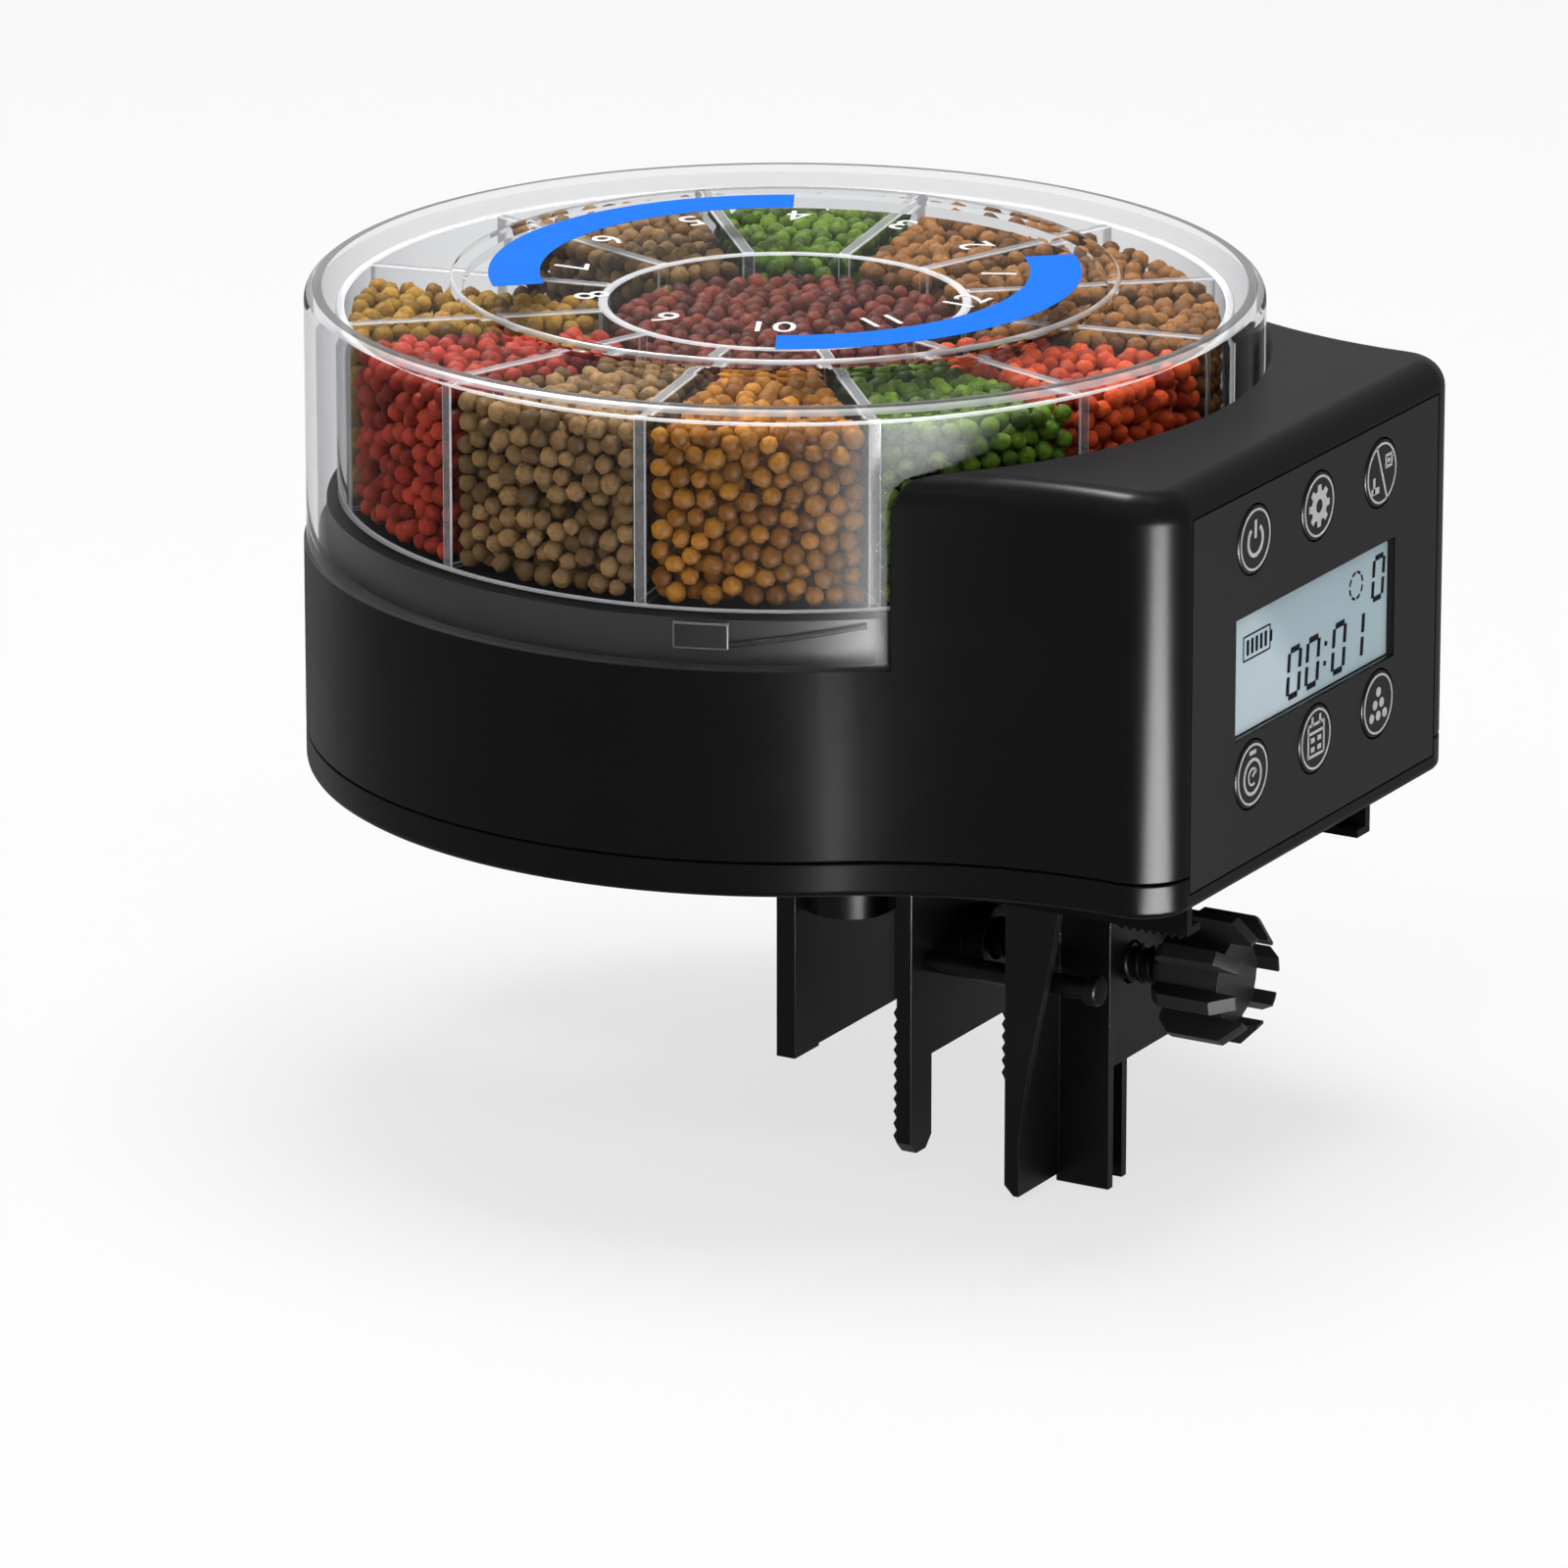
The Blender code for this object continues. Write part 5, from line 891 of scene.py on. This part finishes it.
def packing(count, outer, half_angle, low, high, seed, allowed):
    """Middles and sizes of pellets pushed apart until they rest on one another and the walls round them."""
    in_sector = half_angle < math.pi
    inner = cup_outer + 0.6 if in_sector else 0.0
    walled_sides = (-1, 1) if in_sector else ()
    to_divider = divider_half + 0.1
    touching = 0.98
    share_moved = 0.32
    rounds = 60
    chance = np.random.default_rng(seed)
    diameter = (pellet_size * chance.uniform(0.88, 1.1, count)).astype(np.float32)
    points = np.empty((0, 3), np.float32)
    while len(points) < count:
        radius = outer * np.sqrt(chance.uniform(0.0, 1.0, 4 * count))
        angle = chance.uniform(-half_angle, half_angle, 4 * count)
        height = chance.uniform(low, high, 4 * count)
        fits = allowed(radius, height)
        more = np.stack([radius * np.cos(angle), radius * np.sin(angle), height], 1)[fits]
        points = np.concatenate([points, more.astype(np.float32)])[:count]
    reach = (diameter[:, None] + diameter[None]) / 2 * touching
    for _ in range(rounds):
        apart = points[:, None] - points[None]
        distance = np.sqrt((apart**2).sum(2)) + np.eye(count, dtype=np.float32) * 99.0
        push = np.clip(reach - distance, 0.0, None) / distance
        points += (apart * push[..., None]).sum(1) * share_moved
        rim = np.hypot(points[:, 0], points[:, 1])
        keep = np.clip(rim, inner + diameter / 2, outer - diameter / 2)
        points[:, :2] *= (keep / np.maximum(rim, 1e-6))[:, None]
        for side in walled_sides:
            across = side * (points[:, 1] * math.cos(half_angle)) - points[:, 0] * math.sin(half_angle)
            over = np.clip(across + diameter / 2 + to_divider, 0.0, None)
            points[:, 0] += over * math.sin(half_angle)
            points[:, 1] -= side * over * math.cos(half_angle)
        top = high - diameter / 2 + chance.uniform(-0.7, 0.3, count)
        points[:, 2] = np.clip(points[:, 2], low + diameter / 2, top)
    return points, diameter


def heap(name, material, packed, seed, degrees):
    """A lumpy pellet, turned its own way, at every place of a packing, carried by the wheel."""
    points, diameter = packed
    count = len(points)
    chance = np.random.default_rng(seed)
    turns = chance.uniform(0.0, math.tau, (count, 2))
    stretch = chance.uniform(0.88, 1.06, (count, 3))
    lumps = chance.uniform(0.9, 1.06, (count, len(pellet_points), 1))
    corners = np.empty((count, len(pellet_points), 3))
    faces = []
    for index in range(count):
        tumble = Matrix.Rotation(turns[index, 0], 3, "X") @ Matrix.Rotation(turns[index, 1], 3, "Y")
        shape = pellet_points * lumps[index] * stretch[index] * diameter[index]
        corners[index] = shape @ np.array(tumble).T + points[index]
        faces += [[corner + index * len(pellet_points) for corner in face] for face in pellet_faces]
    mesh = bpy.data.meshes.new(name)
    mesh.from_pydata(corners.reshape(-1, 3).tolist(), [], faces)
    shades = mesh.attributes.new("pellet_shade", "FLOAT", "POINT")
    shade = np.repeat(chance.uniform(0.0, 1.0, count), len(pellet_points))
    shades.data.foreach_set("value", shade.astype(np.float32))
    mesh.polygons.foreach_set("use_smooth", [True] * len(mesh.polygons))
    mesh.materials.append(material)
    obj = bpy.data.objects.new(name, mesh)
    bpy.context.scene.collection.objects.link(obj)
    turn(obj, degrees)
    obj.data.transform(into_frame)
    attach(obj, "wheel")


golden = food("golden_food", (0.14, 0.045, 0.003), (0.44, 0.18, 0.018))
green = food("green_food", (0.02, 0.042, 0.003), (0.11, 0.19, 0.016))
scarlet = food("scarlet_food", (0.20, 0.017, 0.005), (0.62, 0.085, 0.022))
tan = food("tan_food", (0.085, 0.034, 0.007), (0.30, 0.13, 0.035))
brown = food("brown_food", (0.085, 0.046, 0.017), (0.29, 0.168, 0.066))
crimson = food("crimson_food", (0.13, 0.010, 0.005), (0.41, 0.046, 0.023))
maroon = food("maroon_food", (0.045, 0.009, 0.005), (0.16, 0.034, 0.02))
yellow = food("yellow_food", (0.11, 0.055, 0.004), (0.36, 0.195, 0.024))
first_middle = first_divider + compartment_angle / 2
servings = {
    -2: golden,
    -1: green,
    0: scarlet,
    1: tan,
    2: tan,
    3: tan,
    4: green,
    5: brown,
    -5: yellow,
    -4: crimson,
    -3: brown,
}


def beyond_cup(radius, height):
    """Where pellets may start in a compartment."""
    return radius > cup_outer + 1.0


def beside_sleeve(radius, height):
    """Where pellets may start in the cup, clear of the drive's sleeve in its middle."""
    return (radius > 22.0) | (height > 62.5)


pellets = 800
fill_radius = 68.0
fill_low, fill_top = 43.5, 71.6
half_angle = math.radians(compartment_angle / 2)
packings = []
for seed in (40, 41, 42):
    packings.append(packing(pellets, fill_radius, half_angle, fill_low, fill_top, seed, beyond_cup))
for number, (place, material) in enumerate(servings.items()):
    degrees = first_middle + compartment_angle * place
    heap(f"food_{number + 1}", material, packings[number % 3], 60 + number, degrees)
cup_pellets = 1060
cup_fill_radius = 27.2
cup_fill_low, cup_fill_top = 45.6, 70.8
cup_packing = packing(cup_pellets, cup_fill_radius, math.pi, cup_fill_low, cup_fill_top, 77, beside_sleeve)
heap("food_middle", maroon, cup_packing, 80, 0.0)

# Lid
# One thick clear polystyrene moulding: a deep skirt that twists onto the housing's lugs, a rounded rim and a
# raised disc on top, with a dial printed on the disc in white and blue.
# The skirt and rim take a darker copy of the clear material, greyer and letting less light through than the
# top, as painted shade on the food behind the front.
lid_clear_shaded = clear("lid_clear_shaded", (0.93, 0.932, 0.935), (0.34, 0.345, 0.36), 0.02, 1.02, 0.026, 0.82, 0.3)
lid_top = clear("lid_top", (0.96, 0.962, 0.965), (0.72, 0.725, 0.74), 0.02, 1.02, 0.02)
# The dark, nearly opaque line near the top of the rim is painted shade.
rim_shade_line = plastic("rim_shade_line", (0.03, 0.03, 0.035), (0.05, 0.05, 0.055), 0.2, 0.4)
rim_shade_line.node_tree.nodes["Principled BSDF"].inputs["Alpha"].default_value = 0.85
skirt_outer = 74.6
skirt_inner = 72.8
skirt_low = 36.0
skirt_edge = 0.3
rim_top = 76.3
rim_radius = 2.2
disc_radius = 52.0
disc_top = 77.92
disc_edge = 0.8
disc_flat = 51.0
rim_flat = 71.8
ceiling = 74.3
disc_room = 50.0
disc_ceiling = 76.0
lid_profile = [(0.0, disc_top), (disc_flat, disc_top)]
lid_profile += arc(disc_radius - disc_edge, disc_top - disc_edge, disc_edge, 90.0, 0.0, 4)[1:]
lid_profile += [(disc_radius, rim_top), (rim_flat, rim_top)]
lid_profile += arc(skirt_outer - rim_radius, rim_top - rim_radius, rim_radius, 90.0, 0.0, 8)
lid_profile += [(skirt_outer, skirt_low + skirt_edge), (skirt_outer - skirt_edge, skirt_low)]
lid_profile += [(skirt_inner + skirt_edge, skirt_low), (skirt_inner, skirt_low + skirt_edge)]
lid_profile += [(skirt_inner, ceiling), (disc_room, ceiling), (disc_room, disc_ceiling), (0.0, disc_ceiling)]
lid = spun("lid_moulding", lid_profile, drum_steps)


def on_top(out, height):
    """The flat top, within the skirt."""
    return height > ceiling - 0.1 and out < skirt_inner - 0.1


def lit_edge(out, height):
    """The pale lines where light leaves the plastic: round the rim and round the disc."""
    round_rim = out > 73.2 and 75.4 < height < 76.1
    return round_rim or (51.3 < out < disc_radius + 0.1 and height > 76.9)


def dim_edge(out, height):
    """The painted dark line of shade above the rim's pale one."""
    return out > 72.0 and height > 76.1


clear_part(lid, lid_clear_shaded, (lid_top, on_top), (clear_edge_highlight, lit_edge), (rim_shade_line, dim_edge))
settle(lid, "lid", lid_clear_shaded, "clear_lid", "lid")

# The dial is printed on the disc: two blue arcs, and white numbers that stand over the compartments.
blue_ink = plastic("blue_ink", (0.0, 0.17, 0.85), (0.0, 0.21, 0.95), 0.5, 0.03, 2000.0, 0.00001)
ink_depth = 0.06
arc_inner, arc_outer = 38.0, 46.0
arc_span = 104.0
arcs = []
for start in (-62.0, 118.0):
    arcs += ring(0.0, 0.0, arc_inner, arc_outer, start, start + arc_span, 40)
arcs = [block("blue_arc", points, disc_top, disc_top + ink_depth) for points in arcs]
join(*arcs)
arcs[0].name = "dial_arcs"
settle(arcs[0], "lid", blue_ink, "clear_lid")

number_circle = 33.5
number_height = 8.0
numbers = []
for number in range(1, compartments + 1):
    bpy.ops.object.select_all(action="DESELECT")
    bpy.ops.object.text_add()
    text = bpy.context.object
    text.data.body = str(number)
    text.data.align_x = "CENTER"
    text.data.align_y = "CENTER"
    text.data.size = number_height
    text.data.extrude = ink_depth / 2
    bpy.ops.object.convert(target="MESH")
    digits = bpy.context.object
    where = math.radians(first_middle + compartment_angle * number)
    x = number_circle * math.cos(where)
    y = number_circle * math.sin(where)
    spot = Matrix.Translation((x, y, disc_top + ink_depth / 2))
    digits.data.transform(spot @ Matrix.Rotation(where + math.pi / 2, 4, "Z"))
    numbers.append(digits)
join(*numbers)
numbers[0].name = "dial_numbers"
settle(numbers[0], "lid", white_ink, "clear_lid")

# Clamp
# The frame that slides under the housing is black nylon with ribs and gussets. Its jaw is drawn up by a
# coarse screw with a finned knob and kept square by two round guide pins.
black_nylon = plastic("black_nylon", (0.007, 0.007, 0.0075), (0.011, 0.011, 0.0115), 0.36, 0.06, scale=3000.0)
# Paler paint on the rounded edges of the nylon pieces is a painted highlight.
nylon_edge_highlight = plastic("nylon_edge_highlight", (0.035, 0.035, 0.036), (0.05, 0.05, 0.051), 0.3, 0.2, scale=3000.0)


def mould_again(name, source, width, material, body):
    """Takes a flat-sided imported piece's place with a merged copy of it that has its edges rounded."""
    obj = bpy.data.objects.new(name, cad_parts[source].data.copy())
    obj.data.materials.clear()
    bpy.context.scene.collection.objects.link(obj)
    obj.data.transform(Matrix.Scale(millimetres, 4) @ Matrix.Translation(-drum_axis))
    only(obj)
    bpy.ops.object.mode_set(mode="EDIT")
    bpy.ops.mesh.select_all(action="SELECT")
    bpy.ops.mesh.remove_doubles(threshold=0.001)
    bpy.ops.mesh.dissolve_limited(angle_limit=math.radians(0.5))
    bpy.ops.mesh.normals_make_consistent(inside=False)
    bpy.ops.object.mode_set(mode="OBJECT")
    obj.data.materials.append(material)
    # The rounded edges take the paler nylon, a painted highlight.
    obj.data.materials.append(nylon_edge_highlight)
    soften(obj, width, edge_material=1)
    settle(obj, body, material, "black_nylon", source)


mould_again("clamp_body", "clamp_frame", 0.3, black_nylon, "clamp")
mould_again("jaw_body", "moving_jaw", 0.25, black_nylon, "jaw")
screw_height = -20.8
pin_radius = 1.7
pin_start, head_start, pin_end = 40.3, 68.3, 70.3
head_edge = 0.5
for name, y, head_radius in (("near", -25.3, 2.4), ("far", 6.3, 2.2)):
    pin_profile = [(0.0, pin_end), (head_radius - head_edge, pin_end)]
    pin_profile += arc(head_radius - head_edge, pin_end - head_edge, head_edge, 90.0, 0.0, 4)[1:]
    pin_profile += [(head_radius, head_start), (pin_radius, head_start)]
    pin_profile += [(pin_radius, pin_start), (0.0, pin_start)]
    pin = lay_along(spun("pin_" + name, pin_profile, 32), "X")
    pin.data.transform(Matrix.Translation((0.0, y, screw_height)))
    settle(pin, "jaw", black_nylon, "black_nylon", "guide_pin_" + name)

# Screw and knob
# A moulded screw with a coarse round thread runs through the nut plate. The knob on its end has eight square
# fins to grip and is pressed on for good.
core_radius = 2.55
thread_start = 44.6
thread_pitch = 2.0
thread_thickness = 0.62
thread_turns = 18
steps_a_turn = 24
core_start, core_end = 40.6, 82.4
core = rod("screw_core", core_radius, core_start, core_end)
bpy.ops.curve.primitive_bezier_circle_add(radius=thread_thickness)
section = bpy.context.object
section.data.resolution_u = 3
curve = bpy.data.curves.new("thread", "CURVE")
curve.dimensions = "3D"
curve.bevel_mode = "OBJECT"
curve.bevel_object = section
curve.use_fill_caps = True
helix = []
for step in range(thread_turns * steps_a_turn + 1):
    angle = math.tau * step / steps_a_turn
    height = thread_start + thread_pitch * step / steps_a_turn
    helix.append((core_radius * math.cos(angle), core_radius * math.sin(angle), height))
join(core, along_line("thread", curve, helix))
bpy.data.objects.remove(section, do_unlink=True)
lay_along(core, "X")
core.data.transform(Matrix.Translation((0.0, clamp_y, screw_height)))
settle(core, "screw", black_nylon, "black_nylon", "clamp_screw")
knob_nylon = plastic("knob_nylon", (0.018, 0.018, 0.0185), (0.024, 0.024, 0.0245), 0.4, 0.1, scale=3000.0)
mould_again("knob_body", "clamp_knob", 0.3, knob_nylon, "screw")

# Studio
# A pale floor under the feeder, a pale surround, three large soft lights and two strips that only show as
# highlights. The camera stands a little above the lid and to the right of the drum.


def in_sight(tree):
    """1 for what is seen directly, in a reflection or through something clear, and else 0."""
    path = node(tree, "ShaderNodeLightPath").outputs
    sight = path["Is Camera Ray"]
    for way in ("Is Glossy Ray", "Is Transmission Ray"):
        sight = node(tree, "ShaderNodeMath", {0: sight, 1: path[way]}, operation="MAXIMUM").outputs[0]
    return sight


bpy.ops.object.select_all(action="DESELECT")
floor_height = -0.0405
bpy.ops.mesh.primitive_plane_add(size=24.0, location=(0.0, 0.0, floor_height))
floor = bpy.context.object
floor.name = "floor"
floor_paint, tree, shader, place = new_material("floor_paint")
sight = in_sight(tree)
cloud = node(tree, "ShaderNodeTexNoise", {"Vector": place, "Scale": 3.0}).outputs[0]
pale = node(tree, "ShaderNodeMapRange", {"Value": cloud, "To Min": 0.40, "To Max": 0.42}).outputs[0]
shown = node(tree, "ShaderNodeMapRange", {"Value": sight, "To Min": pale, "To Max": 0.94}).outputs[0]
tree.links.new(shown, shader.inputs["Base Color"])
shader.inputs["Roughness"].default_value = 0.9
shader.inputs["Specular IOR Level"].default_value = 0.1
glow = node(tree, "ShaderNodeEmission", {"Color": (1.0, 1.0, 1.0, 1.0), "Strength": 1.0}).outputs[0]
share = node(tree, "ShaderNodeMath", {0: sight, 1: 0.7}, operation="MULTIPLY").outputs[0]
lit = node(tree, "ShaderNodeMixShader", {0: share, 1: shader.outputs[0], 2: glow}).outputs[0]
underneath = node(tree, "ShaderNodeNewGeometry").outputs["Backfacing"]
gone = node(tree, "ShaderNodeBsdfTransparent").outputs[0]
floor_look = node(tree, "ShaderNodeMixShader", {0: underneath, 1: lit, 2: gone}).outputs[0]
tree.links.new(floor_look, tree.nodes["Material Output"].inputs["Surface"])
floor.data.materials.append(floor_paint)

world = bpy.data.worlds.new("studio")
bpy.context.scene.world = world
world.use_nodes = True
tree = world.node_tree
surround = tree.nodes["Background"].inputs
level = node(tree, "ShaderNodeMapRange", {"Value": in_sight(tree), "To Min": 0.28, "To Max": 1.0}).outputs[0]
surround["Color"].default_value = (1.0, 1.0, 1.0, 1.0)
tree.links.new(level, surround["Strength"])


def softbox(name, spot, aim, width, height, power):
    """A large soft light pointed at the feeder."""
    light = bpy.data.lights.new(name, "AREA")
    light.shape = "RECTANGLE"
    light.size = width
    light.size_y = height
    light.energy = power
    obj = bpy.data.objects.new(name, light)
    obj.location = spot
    obj.rotation_euler = (Vector(aim) - Vector(spot)).to_track_quat("-Z", "Y").to_euler()
    bpy.context.scene.collection.objects.link(obj)
    return obj


softbox("top", (0.0, 0.2, 1.6), (-0.02, 0.0, 0.04), 1.0, 0.7, 17.0)
softbox("left", (-1.3, -0.9, 0.9), (-0.04, 0.0, 0.04), 0.3, 1.2, 4.5)
softbox("high", (0.45, -1.0, 1.15), (0.0, 0.0, 0.05), 1.3, 0.1, 3.5)
corner_strip = softbox("corner", (0.305, -0.17, -0.039), (0.305, -0.17, 1.0), 0.33, 0.18, 52.0)
corner_strip.rotation_euler = (math.pi, 0.0, math.radians(-30.0))
edge_strip = softbox("edge", (-0.88, 0.28, 1.6), (0.0, 0.0, 0.08), 0.5, 0.25, 140.0)
for strip in (corner_strip, edge_strip):
    strip.visible_camera = False
    strip.visible_diffuse = False
    strip.visible_transmission = False
    strip.data.use_nodes = True
    tree = strip.data.node_tree
    bounces = node(tree, "ShaderNodeLightPath").outputs["Diffuse Depth"]
    direct = node(tree, "ShaderNodeMath", {0: bounces, 1: 0.5}, operation="LESS_THAN").outputs[0]
    tree.links.new(direct, tree.nodes["Emission"].inputs["Strength"])

camera = bpy.data.objects.new("camera", bpy.data.cameras.new("camera"))
camera.data.lens = 266.4
camera.data.sensor_width = 36.0
camera.data.dof.use_dof = False
camera.location = (0.8427, -1.4955, 0.5610)
pitch = math.radians(-17.60)
ahead = (-0.4990, 0.8666)
gaze = Vector((ahead[0] * math.cos(pitch), ahead[1] * math.cos(pitch), math.sin(pitch)))
camera.rotation_euler = gaze.to_track_quat("-Z", "Y").to_euler()
bpy.context.scene.collection.objects.link(camera)
bpy.context.scene.camera = camera
bpy.context.scene.view_settings.view_transform = "Standard"
